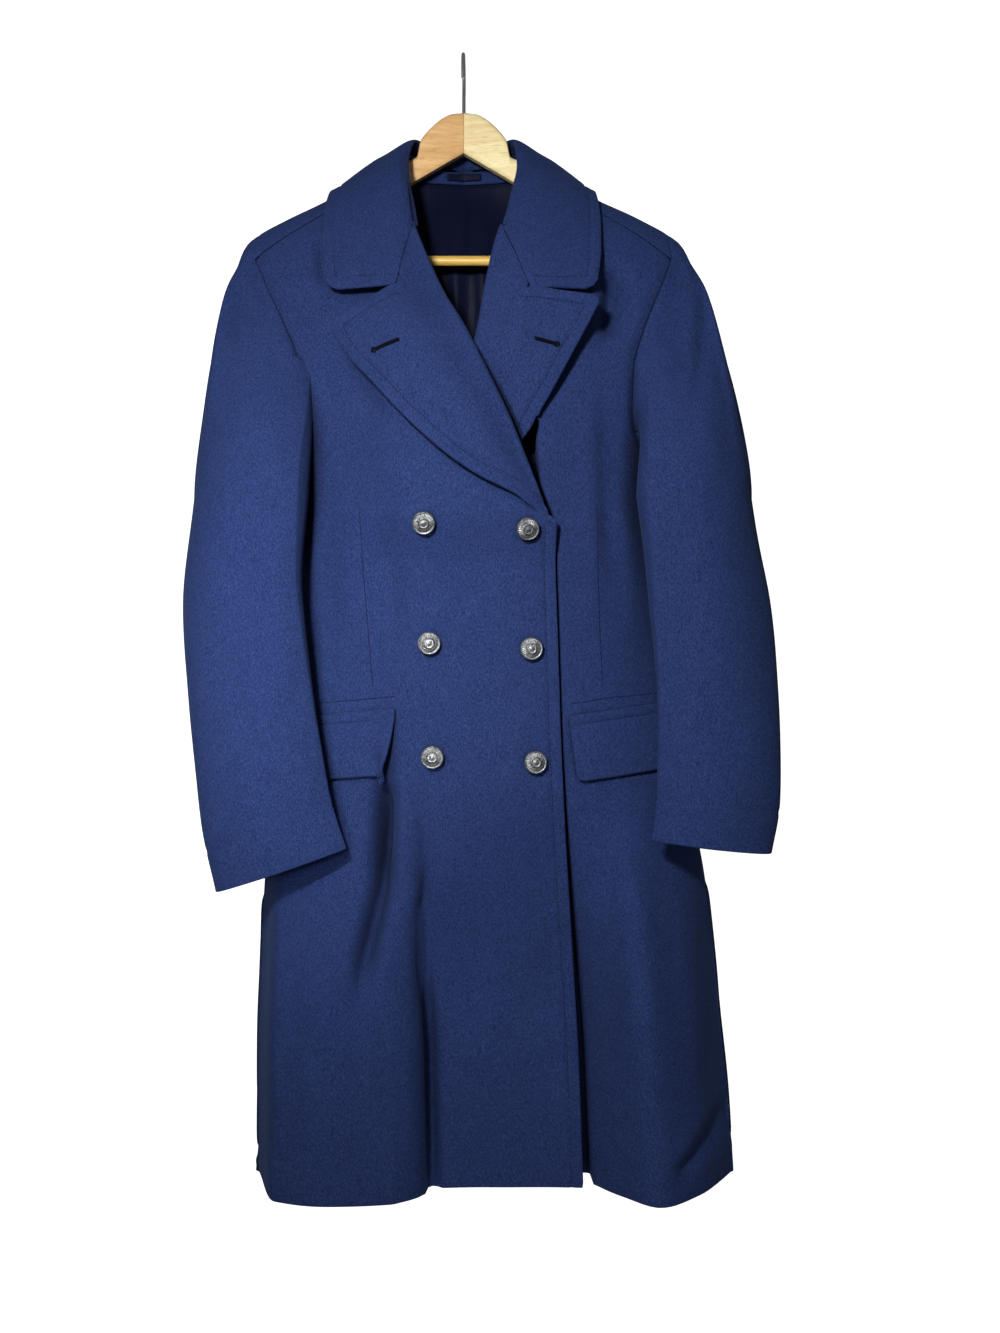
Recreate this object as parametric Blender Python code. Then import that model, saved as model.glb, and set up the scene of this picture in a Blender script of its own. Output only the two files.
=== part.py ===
"""A navy double-breasted wool overcoat hanging on a wooden hanger, at its real size.

Metres, +Z up. The coat faces -Y. The origin is the inside of the hook's crown, where a rail carries it.
Left and right in names are the wearer's, so the wearer's right is at -X. The hung coat leans: its cloth
drifts towards +X on the way down, so widths are given about that leaning middle line.
"""
import math
from collections import namedtuple

import bmesh
import bpy
import numpy as np
from mathutils import Matrix, Vector
from mathutils.bvhtree import BVHTree

# Thicknesses and gaps
CLOTH = 0.0026
FOLDED = 0.0034
SATIN = 0.0010
GAP = 0.0003
SHOULDER_GAP = 0.0004

# Heights
HEM_Z = -1.158
ARMPIT_Z = -0.425
LAPEL_BREAK_Z = -0.482
GORGE_Z = -0.194

# Lean of the hung coat
DRIFT = 0.035
DRIFT_TOP = -0.21

# Shoulders
ROUND = 0.070
SHOULDER_BLEND = 0.15
SEAM_DROP = 0.029
NECK_DROP = 0.012
NECK_X = 0.064
TIP_X = 0.2125
MITRE_Y = 0.0153
TOE_IN = 0.18

# Closure
FRONT_EDGE_X = 0.079
EDGE_LEAN = 0.009
EDGE_LEAN_Z = -0.70
EDGE_LEAN_OVER = 0.36
UNDER_EDGE_X = -0.060
BUTTON_MIDDLE_X = 0.0042
BUTTON_SPREAD = 0.0495
BUTTON_Z = (-0.4945, -0.6115, -0.7225)
BUTTON_DIAMETER = 0.0225
BUTTON_STEPS = 14
BUTTON_SEAT = 0.0005
BUTTON_SLIP = 0.005

# Skirt folds reach their full depth between these heights
FOLD_START_Z = -0.74
FOLD_FULL_Z = -0.98

Section = namedtuple("Section", "z half side_y front back box")
TORSO = (
    Section(-1.160, 0.2475, 0.000, 0.080, 0.050, 2.6),
    Section(-1.034, 0.241, 0.000, 0.082, 0.048, 2.4),
    Section(-0.878, 0.231, 0.000, 0.084, 0.046, 2.2),
    Section(-0.740, 0.212, -0.004, 0.084, 0.044, 2.1),
    Section(-0.610, 0.188, -0.008, 0.080, 0.040, 2.0),
    Section(-0.480, 0.182, -0.010, 0.088, 0.046, 2.0),
    Section(-0.425, 0.190, -0.012, 0.088, 0.048, 2.0),
    Section(-0.370, 0.212, -0.014, 0.085, 0.048, 2.0),
    Section(-0.300, 0.230, -0.018, 0.074, 0.046, 2.0),
    Section(-0.200, 0.238, -0.022, 0.054, 0.040, 2.0),
    Section(-0.080, 0.240, -0.022, 0.036, 0.034, 2.0),
)

# Depth of the skirt at the hem, across the coat: lobes at both sides and a flat double panel between
Lobe = namedtuple("Lobe", "x depth")
HEM_FRONT = (
    Lobe(-0.244, 0.000), Lobe(-0.214, 0.088), Lobe(-0.160, 0.103), Lobe(-0.095, 0.095),
    Lobe(-0.0735, 0.042), Lobe(0.000, 0.038), Lobe(0.090, 0.040), Lobe(0.122, 0.072),
    Lobe(0.158, 0.104), Lobe(0.200, 0.072), Lobe(0.244, 0.000),
)
HEM_BACK = (
    Lobe(-0.244, 0.000), Lobe(-0.195, 0.046), Lobe(-0.120, 0.062), Lobe(-0.055, 0.044),
    Lobe(0.010, 0.056), Lobe(0.070, 0.042), Lobe(0.135, 0.064), Lobe(0.200, 0.044), Lobe(0.244, 0.000),
)

Ridge = namedtuple("Ridge", "x z")
SHOULDER = (
    Ridge(0.000, -0.080), Ridge(0.050, -0.098), Ridge(0.143, -0.154), Ridge(0.180, -0.1745),
    Ridge(0.2125, -0.194), Ridge(0.240, -0.218),
)

# Back neckline: how far it lies behind the shoulder's ridge, as degrees of the shoulder's rounding
Neckline = namedtuple("Neckline", "x turn")
NECKLINE = (
    Neckline(0.000, 49), Neckline(0.020, 45), Neckline(0.037, 31), Neckline(0.045, 17), Neckline(0.051, 4),
    Neckline(0.056, -9), Neckline(0.0605, -22), Neckline(NECK_X, -34),
)

# Lapel roll lines and the neckline above them: top is the wearer's right front, under the left one
Roll = namedtuple("Roll", "z top under")
ROLL = (
    Roll(-0.482, 0.0785, -0.0726),
    Roll(-0.444, 0.0646, -0.0560),
    Roll(-0.382, 0.0365, -0.0200),
    Roll(-0.316, 0.0041, 0.0078),
    Roll(-0.252, -0.0248, 0.0223),
    Roll(-0.194, -0.0462, 0.0384),
    Roll(-0.165, -0.0560, 0.0530),
    Roll(-0.118, -0.0640, 0.0640),
)

# Armhole, from the armpit up to the shoulder seam
Armhole = namedtuple("Armhole", "step z front_x back_x")
ARMHOLE = (
    Armhole(0.00, -0.425, 0.190, 0.190),
    Armhole(0.10, -0.419, 0.180, 0.185),
    Armhole(0.22, -0.402, 0.169, 0.179),
    Armhole(0.36, -0.374, 0.165, 0.176),
    Armhole(0.52, -0.338, 0.167, 0.178),
    Armhole(0.70, -0.295, 0.181, 0.186),
    Armhole(0.86, -0.255, 0.199, 0.199),
    Armhole(1.00, -0.223, 0.2125, 0.2125),
)

# Sleeve rings below the armhole: long and short half axes, turn of the long one about Z, tilt of the ring
Ring = namedtuple("Ring", "z x y long short turn tilt")
SLEEVE_RIGHT = (
    Ring(-0.466, -0.2225, -0.064, 0.068, 0.046, 40, 0),
    Ring(-0.567, -0.2347, -0.068, 0.068, 0.042, 30, 2),
    Ring(-0.670, -0.2273, -0.080, 0.067, 0.035, 20, 6),
    Ring(-0.770, -0.2152, -0.092, 0.0665, 0.030, 13, 13),
    Ring(-0.833, -0.2020, -0.097, 0.066, 0.026, 10, 19),
)
SLEEVE_LEFT = (
    Ring(-0.466, 0.2245, -0.064, 0.068, 0.046, 40, 0),
    Ring(-0.567, 0.2355, -0.068, 0.068, 0.042, 30, 1),
    Ring(-0.670, 0.2393, -0.080, 0.065, 0.035, 20, 3),
    Ring(-0.760, 0.2343, -0.092, 0.063, 0.030, 13, 5),
    Ring(-0.809, 0.2256, -0.097, 0.060, 0.026, 10, 7),
)

# Collar, from the centre back round to the gorge: seam on the neckline, fold, and outer edge
CollarCut = namedtuple("CollarCut", "step seam_x seam_y seam_z fold_x fold_y fold_z edge_x edge_y edge_z")
COLLAR = (
    CollarCut(0.00, 0.000, 0.0375, -0.1035, 0.000, 0.042, -0.072, 0.000, 0.078, -0.150),
    CollarCut(0.22, 0.036, 0.0320, -0.1010, 0.034, 0.036, -0.073, 0.082, 0.062, -0.147),
    CollarCut(0.45, 0.058, 0.0030, -0.0990, 0.050, 0.008, -0.080, 0.132, 0.002, -0.138),
    CollarCut(0.65, 0.0590, -0.030, -0.130, 0.054, -0.026, -0.112, 0.139, -0.055, -0.190),
    CollarCut(0.82, 0.0495, -0.0435, -0.160, 0.0485, -0.049, -0.155, 0.1345, -0.075, -0.236),
    CollarCut(1.00, 0.0435, -0.0585, -0.1935, 0.0420, -0.064, -0.191, 0.131, -0.088, -0.262),
)
COLLAR_STEPS = (0, 0.1, 0.2, 0.28, 0.35, 0.40, 0.45, 0.50, 0.55, 0.62, 0.7, 0.8, 0.9, 1)
COLLAR_CLEAR = 0.0042
COLLAR_ROLL = 0.0048
NOTCH_X = 0.0620
NOTCH_Z = -0.2590
NOTCH_SHARE = 0.45
NOTCH_GAP = 0.004

# Lapels: gorge, notch, corner and points of the outer edge down to the break, in x and z
LapelPoint = namedtuple("LapelPoint", "x z")
LAPEL_TOP_EDGE = (
    LapelPoint(-0.130, -0.303), LapelPoint(-0.1060, -0.346), LapelPoint(-0.0760, -0.377),
    LapelPoint(-0.0465, -0.403), LapelPoint(-0.0130, -0.433), LapelPoint(0.0240, -0.454),
    LapelPoint(0.0700, -0.476),
)
LAPEL_UNDER_EDGE = (
    LapelPoint(0.1285, -0.280), LapelPoint(0.1150, -0.311), LapelPoint(0.0955, -0.344),
    LapelPoint(0.0757, -0.381), LapelPoint(0.0560, -0.408), LapelPoint(0.0150, -0.432),
    LapelPoint(-0.0400, -0.452),
)
UNDER_BREAK_Z = -0.460
LAPEL_LIFT = 0.004
LAPEL_STAND = 0.013
ROLL_RADIUS = 0.0056
ROLL_SETBACK = 0.0095
ROLL_TURNS = (-50, -10, 30, 65)
OVERLAP_GAP = 0.0022
SKIRT_STAND = 0.006

# Inside of the back neck
LINING_LOW_Z = -0.70
LINING_BEND_Z = -0.33
LINING_SEAT = 0.0016
FACING_HALF = 0.044
FACING_TOP_Z = -0.1095
FACING_LOW_Z = -0.1190
LOOP_HALF = 0.018
LOOP_TOP_Z = -0.1105
LOOP_LOW_Z = -0.1160
LOOP_THICK = 0.002

LiningCut = namedtuple("LiningCut", "z half")
LINING = (
    LiningCut(LINING_LOW_Z, 0.145), LiningCut(ARMPIT_Z, 0.140), LiningCut(-0.25, 0.122),
    LiningCut(FACING_LOW_Z, FACING_HALF),
)

# Pocket flaps: ends along x, top at the inner and outer end, and depth
Flap = namedtuple("Flap", "name inner outer inner_z outer_z depth lean")
FLAPS = (
    Flap("flap_right", -0.0816, -0.196, -0.6766, -0.688, 0.062, 0.006),
    Flap("flap_left", 0.0902, 0.194, -0.684, -0.671, 0.062, 0.006),
)
FLAP_LIFT = 0.004
FLAP_SEAT = 0.0013

# Hanger
APEX_Z = -0.0523
MITRE_LOW_Z = -0.0954
ARM_SLOPE = 0.645
ARM_END_X = 0.196
ARM_END_LOW_Z = -0.2300
ARM_THICK = 0.013
ARM_BEVEL = 0.0045
BAR_Z = -0.2168
BAR_RADIUS = 0.0051
BAR_HALF = 0.187
HOOK_RADIUS = 0.020
WIRE_RADIUS = 0.0019
SOCKET_DEPTH = 0.018
HOOK_START = -45
HOOK_END = 205
ARM_RIDE = 0.0013
Arch = namedtuple("Arch", "x z")
ARCH = (
    Arch(0.000, APEX_Z), Arch(0.012, -0.0542), Arch(0.023, -0.0599), Arch(0.034, -0.0700),
    Arch(0.044, -0.0840), Arch(0.054, -0.1030),
)

# Grid sizes
LOWER_ROWS = 14
UPPER_ROWS = 9
FRONT_COLUMNS = 20
BACK_COLUMNS = 15
RIDGE_ROWS = 7
WALL_SHARE = 0.352
CREST_SHARE = 0.8
BACK_ARMHOLE_SHARE = 0.86
SLEEVE_GAP = 0.0008
ARMPIT_STEEP = 80
SLEEVE_TWIST = -0.06
SLEEVE_LEAVE = 0.5
SLEEVE_HANG = 0.9

# Colours
NAVY = (0.024, 0.038, 0.130)
LINING_BLUE = (0.008, 0.010, 0.030)
PEWTER = (0.32, 0.33, 0.33)
BEECH = (0.72, 0.47, 0.20)
STEEL = (0.62, 0.62, 0.62)


# Small helpers

def smooth_curve(knots, values, at):
    """Monotone cubic through the knots, held level past both ends."""
    knots = np.asarray(knots, float)
    values = np.asarray(values, float)
    at = np.clip(np.asarray(at, float), knots[0], knots[-1])
    step = np.diff(knots)
    slope = np.diff(values) / step
    before, after = slope[:-1], slope[1:]
    same = before * after > 0
    total = np.where(same, before + after, 1.0)
    tangent = np.empty_like(values)
    tangent[0], tangent[-1] = slope[0], slope[-1]
    tangent[1:-1] = np.where(same, 2 * before * after / total, 0.0)
    i = np.clip(np.searchsorted(knots, at, side="right") - 1, 0, len(step) - 1)
    t = (at - knots[i]) / step[i]
    rise = step[i] * ((t**3 - 2 * t**2 + t) * tangent[i] + (t**3 - t**2) * tangent[i + 1])
    return (2 * t**3 - 3 * t**2 + 1) * values[i] + (3 * t**2 - 2 * t**3) * values[i + 1] + rise


def read(rows, name, at, by):
    """One column of a table, read smoothly along another column."""
    pairs = sorted((getattr(row, by), getattr(row, name)) for row in rows)
    return smooth_curve([pair[0] for pair in pairs], [pair[1] for pair in pairs], at)


def ease(t):
    t = np.clip(t, 0, 1)
    return t * t * (3 - 2 * t)


def mix(a, b, t):
    return a + (b - a) * t


def unit(vectors):
    return vectors / np.maximum(np.linalg.norm(vectors, axis=-1, keepdims=True), 1e-12)


# The coat's body as two height fields, front and back

def drift(z):
    return DRIFT * np.maximum(0, DRIFT_TOP - z)


def ridge_z(x):
    return read(SHOULDER, "z", np.abs(x), "x")


def ridge_y(x):
    return MITRE_Y - TOE_IN * np.sqrt(x * x + 1e-5)


def seam_drop(x):
    """How far the shoulder seam lies below the ridge, on the front."""
    return mix(NECK_DROP, SEAM_DROP, np.clip((np.abs(x) - NECK_X) / (TIP_X - NECK_X), 0, 1))


def half_width(z):
    return read(TORSO, "half", z, "z")


def torso(x, z, side):
    """Point on the cloth's outer face. x is measured from the leaning middle; side is -1 front, +1 back."""
    x, z, side = np.broadcast_arrays(np.asarray(x, float), np.asarray(z, float), np.asarray(side, float))
    across = np.clip(np.abs(x) / half_width(z), 0, 1)
    below = np.maximum(ridge_z(x) - z, 0)
    rise = np.sqrt(1 - (1 - np.clip(below / ROUND, 0, 1)) ** 2)
    base_y = mix(ridge_y(x), read(TORSO, "side_y", z, "z"), ease(below / SHOULDER_BLEND))
    front = side < 0
    depth = np.where(front, read(TORSO, "front", z, "z"), read(TORSO, "back", z, "z"))
    plain = depth * np.sqrt(1 - across ** read(TORSO, "box", z, "z")) * rise
    folded_x = x * HEM_FRONT[-1].x / half_width(z)
    folded = np.where(front, read(HEM_FRONT, "depth", folded_x, "x"), read(HEM_BACK, "depth", folded_x, "x"))
    share = ease((FOLD_START_Z - z) / (FOLD_START_Z - FOLD_FULL_Z))
    y = base_y + side * mix(plain, folded, share)
    return np.stack([x + drift(z), y, z], -1)


def surface_normals(points, toward):
    """Unit normals of a grid of points, on the side that the direction names."""
    normals = unit(np.cross(np.gradient(points, axis=0), np.gradient(points, axis=1)))
    if np.sum(normals * toward) < 0:
        normals = -normals
    return normals


def body_normal(x, z, side, step=0.002):
    """Direction out of the body's own surface, taken a little inside its side seams."""
    limit = 0.985 * half_width(z) - step
    x = np.clip(x, -limit, limit)
    across = torso(x + step, z, side) - torso(x - step, z, side)
    up = torso(x, z + step, side) - torso(x, z - step, side)
    return -side * unit(np.cross(across, up))


def front_normal(x, z):
    return body_normal(x, z, -1)


# How far each front lies outside the body's own surface

def top_layer(x, z):
    """The wearer's right front passes over the left one, and over its lapel, so it stands out there."""
    overlap = ease((x - UNDER_EDGE_X + 0.040) / 0.035)
    lapel = ease((z + 0.54) / 0.06) * ease((-0.26 - z) / 0.05) * ease((x + 0.13) / 0.06)
    skirt = ease((-0.80 - z) / 0.30)
    return overlap * (CLOTH + OVERLAP_GAP + SKIRT_STAND * skirt) + LAPEL_STAND * lapel


def under_layer(x, z):
    return np.zeros(np.broadcast(x, z).shape)


def smooth_front(x, z, layer):
    """Point on a front's smooth outer face and the direction out of it."""
    x, z = np.broadcast_arrays(np.asarray(x, float), np.asarray(z, float))
    out = front_normal(x, z)
    return torso(x, z, -1) + out * np.asarray(layer(x, z))[..., None], out


# Meshes

def material(name, colour, roughness, metallic=0.0):
    found = bpy.data.materials.get(name)
    if found:
        return found
    made = bpy.data.materials.new(name)
    made.use_nodes = True
    shader = made.node_tree.nodes["Principled BSDF"]
    shader.inputs["Base Color"].default_value = (*colour, 1.0)
    shader.inputs["Roughness"].default_value = roughness
    shader.inputs["Metallic"].default_value = metallic
    made.diffuse_color = (*colour, 1.0)
    return made


def wool():
    return material("wool", NAVY, 0.95)


def satin():
    return material("satin", LINING_BLUE, 0.35)


def beech():
    return material("beech", BEECH, 0.42)


def add_object(name, mesh, finish):
    mesh.materials.append(finish)
    mesh.shade_smooth()
    mesh.set_sharp_from_angle(angle=math.radians(40))
    made = bpy.data.objects.new(name, mesh)
    bpy.context.collection.objects.link(made)
    return made


def finish_mesh(name, mesh):
    bmesh.ops.recalc_face_normals(mesh, faces=mesh.faces)
    data = bpy.data.meshes.new(name)
    mesh.to_mesh(data)
    mesh.free()
    return data


def shell(name, outer, inner, finish):
    """Closed wall between two grids of points."""
    rows, columns = outer.shape[:2]
    mesh = bmesh.new()
    out, back = [[[mesh.verts.new(point) for point in row] for row in grid] for grid in (outer, inner)]
    for i in range(rows - 1):
        for j in range(columns - 1):
            mesh.faces.new((out[i][j], out[i][j + 1], out[i + 1][j + 1], out[i + 1][j]))
            mesh.faces.new((back[i][j], back[i + 1][j], back[i + 1][j + 1], back[i][j + 1]))
    rim = [(0, j) for j in range(columns)] + [(i, columns - 1) for i in range(1, rows)]
    rim += [(rows - 1, j) for j in range(columns - 2, -1, -1)] + [(i, 0) for i in range(rows - 2, 0, -1)]
    for (i, j), (k, m) in zip(rim, rim[1:] + rim[:1]):
        mesh.faces.new((out[i][j], back[i][j], back[k][m], out[k][m]))
    return add_object(name, finish_mesh(name, mesh), finish)


def grid_tree(*grids):
    """Search tree over the faces of some grids of points."""
    verts, faces = [], []
    for grid in grids:
        rows, columns = grid.shape[:2]
        start = len(verts)
        verts += [Vector(point) for point in grid.reshape(-1, 3)]
        for i in range(rows - 1):
            for j in range(columns - 1):
                a = start + i * columns + j
                faces.append((a, a + 1, a + columns + 1, a + columns))
    return BVHTree.FromPolygons(verts, faces)


def pull_in(points, edge, by=GAP / 2):
    """Move one edge of a grid back towards its neighbours, to leave a seam's gap."""
    if edge == "first_column":
        points[:, 0] += unit(points[:, 1] - points[:, 0]) * by
    elif edge == "last_column":
        points[:, -1] += unit(points[:, -2] - points[:, -1]) * by
    elif edge == "last_row":
        points[-1] += unit(points[-2] - points[-1]) * by


Panel = namedtuple("Panel", "outer inner normals")


def armhole_edge(panel):
    return panel.outer[LOWER_ROWS - 1:, -1], panel.normals[LOWER_ROWS - 1:, -1]


# Fronts

def inner_line(z, which):
    """Front edge below the break, set-back roll line above it, then the neckline."""
    toward = 1 if which == "top" else -1
    rolled = read(ROLL, which, z, "z") - toward * ROLL_SETBACK * ease((-0.15 - z) / 0.04)
    leaning = FRONT_EDGE_X + EDGE_LEAN * ease((EDGE_LEAN_Z - z) / EDGE_LEAN_OVER)
    edge = leaning if which == "top" else UNDER_EDGE_X
    break_z = LAPEL_BREAK_Z if which == "top" else UNDER_BREAK_Z
    return np.where(z < break_z, edge, rolled)


def front_columns(which):
    """Shares across a front, closer together at the steep side of the skirt's right lobe."""
    if which == "under":
        return np.linspace(0, 1, FRONT_COLUMNS)
    wall = np.linspace(WALL_SHARE - 0.045, WALL_SHARE + 0.055, 5)
    inside = np.linspace(0, wall[0], 6)[:-1]
    outside = np.linspace(wall[-1], 1, FRONT_COLUMNS - 9)[1:]
    return np.concatenate([inside, wall, outside])


def front_grid(which, lower=LOWER_ROWS, upper=UPPER_ROWS):
    """Grid of x and z over a front, from its inner line out to the side seam and armhole."""
    outward = -1 if which == "top" else 1
    s = front_columns(which)
    z_low = np.linspace(HEM_Z, ARMPIT_Z, lower)
    tau = np.linspace(0, 1, upper + 1)[1:]
    z_in = np.concatenate([z_low, mix(ARMPIT_Z, ROLL[-1].z, tau)])
    z_out = np.concatenate([z_low, read(ARMHOLE, "z", tau, "step")])
    x_in = inner_line(z_in, which)
    x_out = outward * np.concatenate([half_width(z_low), read(ARMHOLE, "front_x", tau, "step")])
    turn_in = np.arcsin(np.clip(x_in / half_width(z_in), -1, 1))
    turn_out = np.arcsin(np.clip(x_out / half_width(z_out), -1, 1))
    turn = mix(turn_in[:, None], turn_out[:, None], s[None])
    z = mix(z_in[:, None], z_out[:, None], s[None])
    x = half_width(z) * np.sin(turn)
    x_top = mix(x_in[-1], x_out[-1], s)
    z_top = ridge_z(x_top) - seam_drop(x_top)
    share = np.concatenate([np.zeros(lower), tau ** 2])[:, None]
    return x + share * (x_top - x[-1]), z + share * (z_top - z[-1])


def build_front(name, which, layer):
    x, z = front_grid(which)
    outward = -1 if which == "top" else 1
    outer = torso(x, z, -1)
    normals = surface_normals(outer, (0, -1, 0))
    normals[LOWER_ROWS:, -1] = front_normal(x[LOWER_ROWS:, -1], z[LOWER_ROWS:, -1])
    normals[:LOWER_ROWS, -1] = (outward, 0, 0)
    normals[-1] = front_normal(x[-1], z[-1])
    outer = outer + normals * layer(x, z)[..., None]
    pull_in(outer, "last_column")
    pull_in(outer, "last_row", SHOULDER_GAP)
    panel = Panel(outer, outer - normals * CLOTH, normals)
    shell(name, panel.outer, panel.inner, wool())
    return panel


# Backs

def back_top():
    """Columns along the back's top edge: its x, and how far it has turned over the shoulder, in radians."""
    neck = [spot.x for spot in NECKLINE]
    x = np.concatenate([neck, np.linspace(NECK_X, TIP_X, BACK_COLUMNS - len(neck) + 1)[1:]])
    turn = np.radians(np.interp(x, neck, [spot.turn for spot in NECKLINE]))
    return x, np.where(x < NECK_X, turn, -np.arccos(1 - seam_drop(x) / ROUND))


def back_grid(outward, lower=LOWER_ROWS, upper=UPPER_ROWS):
    """Grid of x, z and side over a back, from the centre seam to the side seam and over the shoulder."""
    x_top, turn_end = back_top()
    columns = len(x_top)
    s = np.linspace(0, 1, columns)
    z_low = np.linspace(HEM_Z, ARMPIT_Z, lower)
    tau = np.linspace(0, 1, upper + 1)[1:]
    x_low = half_width(z_low)[:, None] * np.sin(s * math.pi / 2)[None]
    crest = CREST_SHARE * ROUND
    x_mid = mix(x_low[-1][None], x_top[None], ease(tau)[:, None])
    edge = read(ARMHOLE, "back_x", tau * BACK_ARMHOLE_SHARE, "step")[:, None]
    x_mid = x_mid * mix(1, edge / x_mid[:, -1:], s[None])
    z_edge = np.minimum(read(ARMHOLE, "z", tau * BACK_ARMHOLE_SHARE, "step"), ridge_z(x_mid[:, -1]) - crest)
    z_mid = mix(ARMPIT_Z, (ridge_z(x_mid[-1]) - crest)[None], tau[:, None])
    z_mid = z_mid + (z_edge - z_mid[:, -1])[:, None] * s[None] ** 3
    over = np.linspace(0, 1, RIDGE_ROWS + 1)[1:, None]
    turn = mix(math.acos(1 - CREST_SHARE), turn_end[None], over)
    x_over = mix(x_mid[-1][None], x_top[None], over)
    z_over = ridge_z(x_over) - ROUND * (1 - np.cos(turn))
    x = np.concatenate([x_low, x_mid, x_over]) * outward
    z = np.concatenate([np.repeat(z_low[:, None], columns, 1), z_mid, z_over])
    side = np.concatenate([np.ones((lower + upper, columns)), np.where(turn >= 0, 1.0, -1.0)])
    return x, z, side


def build_back(name, outward):
    x, z, side = back_grid(outward)
    outer = torso(x, z, side)
    normals = surface_normals(outer, (0, 1, 0))
    normals[:, 0, 0] = 0
    armhole = slice(LOWER_ROWS, LOWER_ROWS + UPPER_ROWS)
    normals[armhole, -1] = body_normal(x[armhole, -1], z[armhole, -1], 1)
    normals[:LOWER_ROWS, -1] = (outward, 0, 0)
    shoulder = np.abs(x[-1]) >= NECK_X
    normals[-1, shoulder] = front_normal(x[-1, shoulder], z[-1, shoulder])
    normals = unit(normals)
    pull_in(outer, "first_column")
    pull_in(outer, "last_column")
    pull_in(outer, "last_row", SHOULDER_GAP)
    panel = Panel(outer, outer - normals * CLOTH, normals)
    shell(name, panel.outer, panel.inner, wool())
    return panel


# Sleeves

def ring_at(rows, share, angle):
    """Points of a sleeve ring; share runs from the first row of the table to the last."""
    spot = np.linspace(0, 1, len(rows))

    def value(name):
        return smooth_curve(spot, [getattr(row, name) for row in rows], share)

    outward = math.copysign(1, rows[0].x)
    turn = math.radians(value("turn"))
    tilt = math.tan(math.radians(value("tilt")))
    long_way = np.array([-outward * math.cos(turn), -math.sin(turn)])
    short_way = np.array([outward * math.sin(turn), -math.cos(turn)])
    flat = value("long") * np.sin(angle)[:, None] * long_way
    flat = flat + value("short") * np.cos(angle)[:, None] * short_way
    z = value("z") - tilt * outward * flat[:, 0]
    return np.stack([value("x") + flat[:, 0] + drift(value("z")), value("y") + flat[:, 1], z], -1)


def sleeve_tube(rows, loop, lay, transitions=6, lower=10):
    """Rings from the armhole's loop down to the cuff, and the direction out of the first ring.

    The sleeve goes on along the cloth at the shoulder's tip and leaves it steeply at the armpit.
    """
    outward = math.copysign(1, rows[0].x)
    length = np.concatenate([[0], np.cumsum(np.linalg.norm(np.diff(loop, axis=0), axis=1))])
    pit = length[np.argmin(loop[:, 2])]
    angle = math.pi * np.interp(length, [0, pit, length[-1]], [SLEEVE_TWIST, 1, 2 + SLEEVE_TWIST])
    tangent = np.gradient(np.concatenate([loop[-2:-1], loop, loop[1:2]]), axis=0)[1:-1]
    away = unit(-outward * np.cross(tangent, lay))
    fall = (loop[0, 2] - loop[:, 2]) / (loop[0, 2] - loop[:, 2].min())
    steep = (math.radians(ARMPIT_STEEP) * ease(fall))[:, None]
    leave = np.cos(steep) * away + np.sin(steep) * lay
    facing = np.cos(steep) * lay - np.sin(steep) * away
    start = loop + away * SLEEVE_GAP
    bicep = ring_at(rows, 0.0, angle)
    reach = np.linalg.norm(bicep - start, axis=1)[:, None]
    down = np.array([0, 0, -1.0])
    rings = []
    for t in np.linspace(0, 1, transitions + 1)[:-1] ** 0.9:
        ring = (2 * t**3 - 3 * t**2 + 1) * start + (3 * t**2 - 2 * t**3) * bicep
        bend = (t**3 - 2 * t**2 + t) * SLEEVE_LEAVE * leave + (t**3 - t**2) * SLEEVE_HANG * down
        rings.append(ring + bend * reach)
    rings += [ring_at(rows, t, angle) for t in np.linspace(0, 1, lower)]
    return np.stack(rings), facing


def build_sleeve(label, rows, front, back):
    """Two half tubes, the top sleeve and the under sleeve, that start on the armhole's own points."""
    front_points, front_normals = armhole_edge(front)
    back_points, back_normals = armhole_edge(back)
    armpit = (front_points[0] + back_points[0]) / 2
    tip = (front_points[-1] + back_points[-1]) / 2
    loop = np.concatenate([[tip], front_points[-2:0:-1], [armpit], back_points[1:-1], [tip]])
    lay = np.concatenate([front_normals[::-1], back_normals[1:]])
    tube, facing = sleeve_tube(rows, loop, lay)
    wrap = np.concatenate([tube[:, -2:-1], tube, tube[:, 1:2]], axis=1)
    normals = surface_normals(wrap, (0, 0, 0))[:, 1:-1]
    if np.sum(normals * (tube - tube.mean(axis=1, keepdims=True))) < 0:
        normals = -normals
    normals[0] = facing
    front_seam = UPPER_ROWS - 2
    back_seam = UPPER_ROWS + 4
    around = len(loop) - 1
    halves = {"top": np.concatenate([np.arange(back_seam, around), np.arange(0, front_seam + 1)]),
              "under": np.arange(front_seam, back_seam + 1)}
    for half, columns in halves.items():
        outer = tube[:, columns].copy()
        pull_in(outer, "first_column", GAP)
        pull_in(outer, "last_column", GAP)
        shell(f"sleeve_{label}_{half}", outer, outer - normals[:, columns] * CLOTH, wool())


# Lapels

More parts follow.
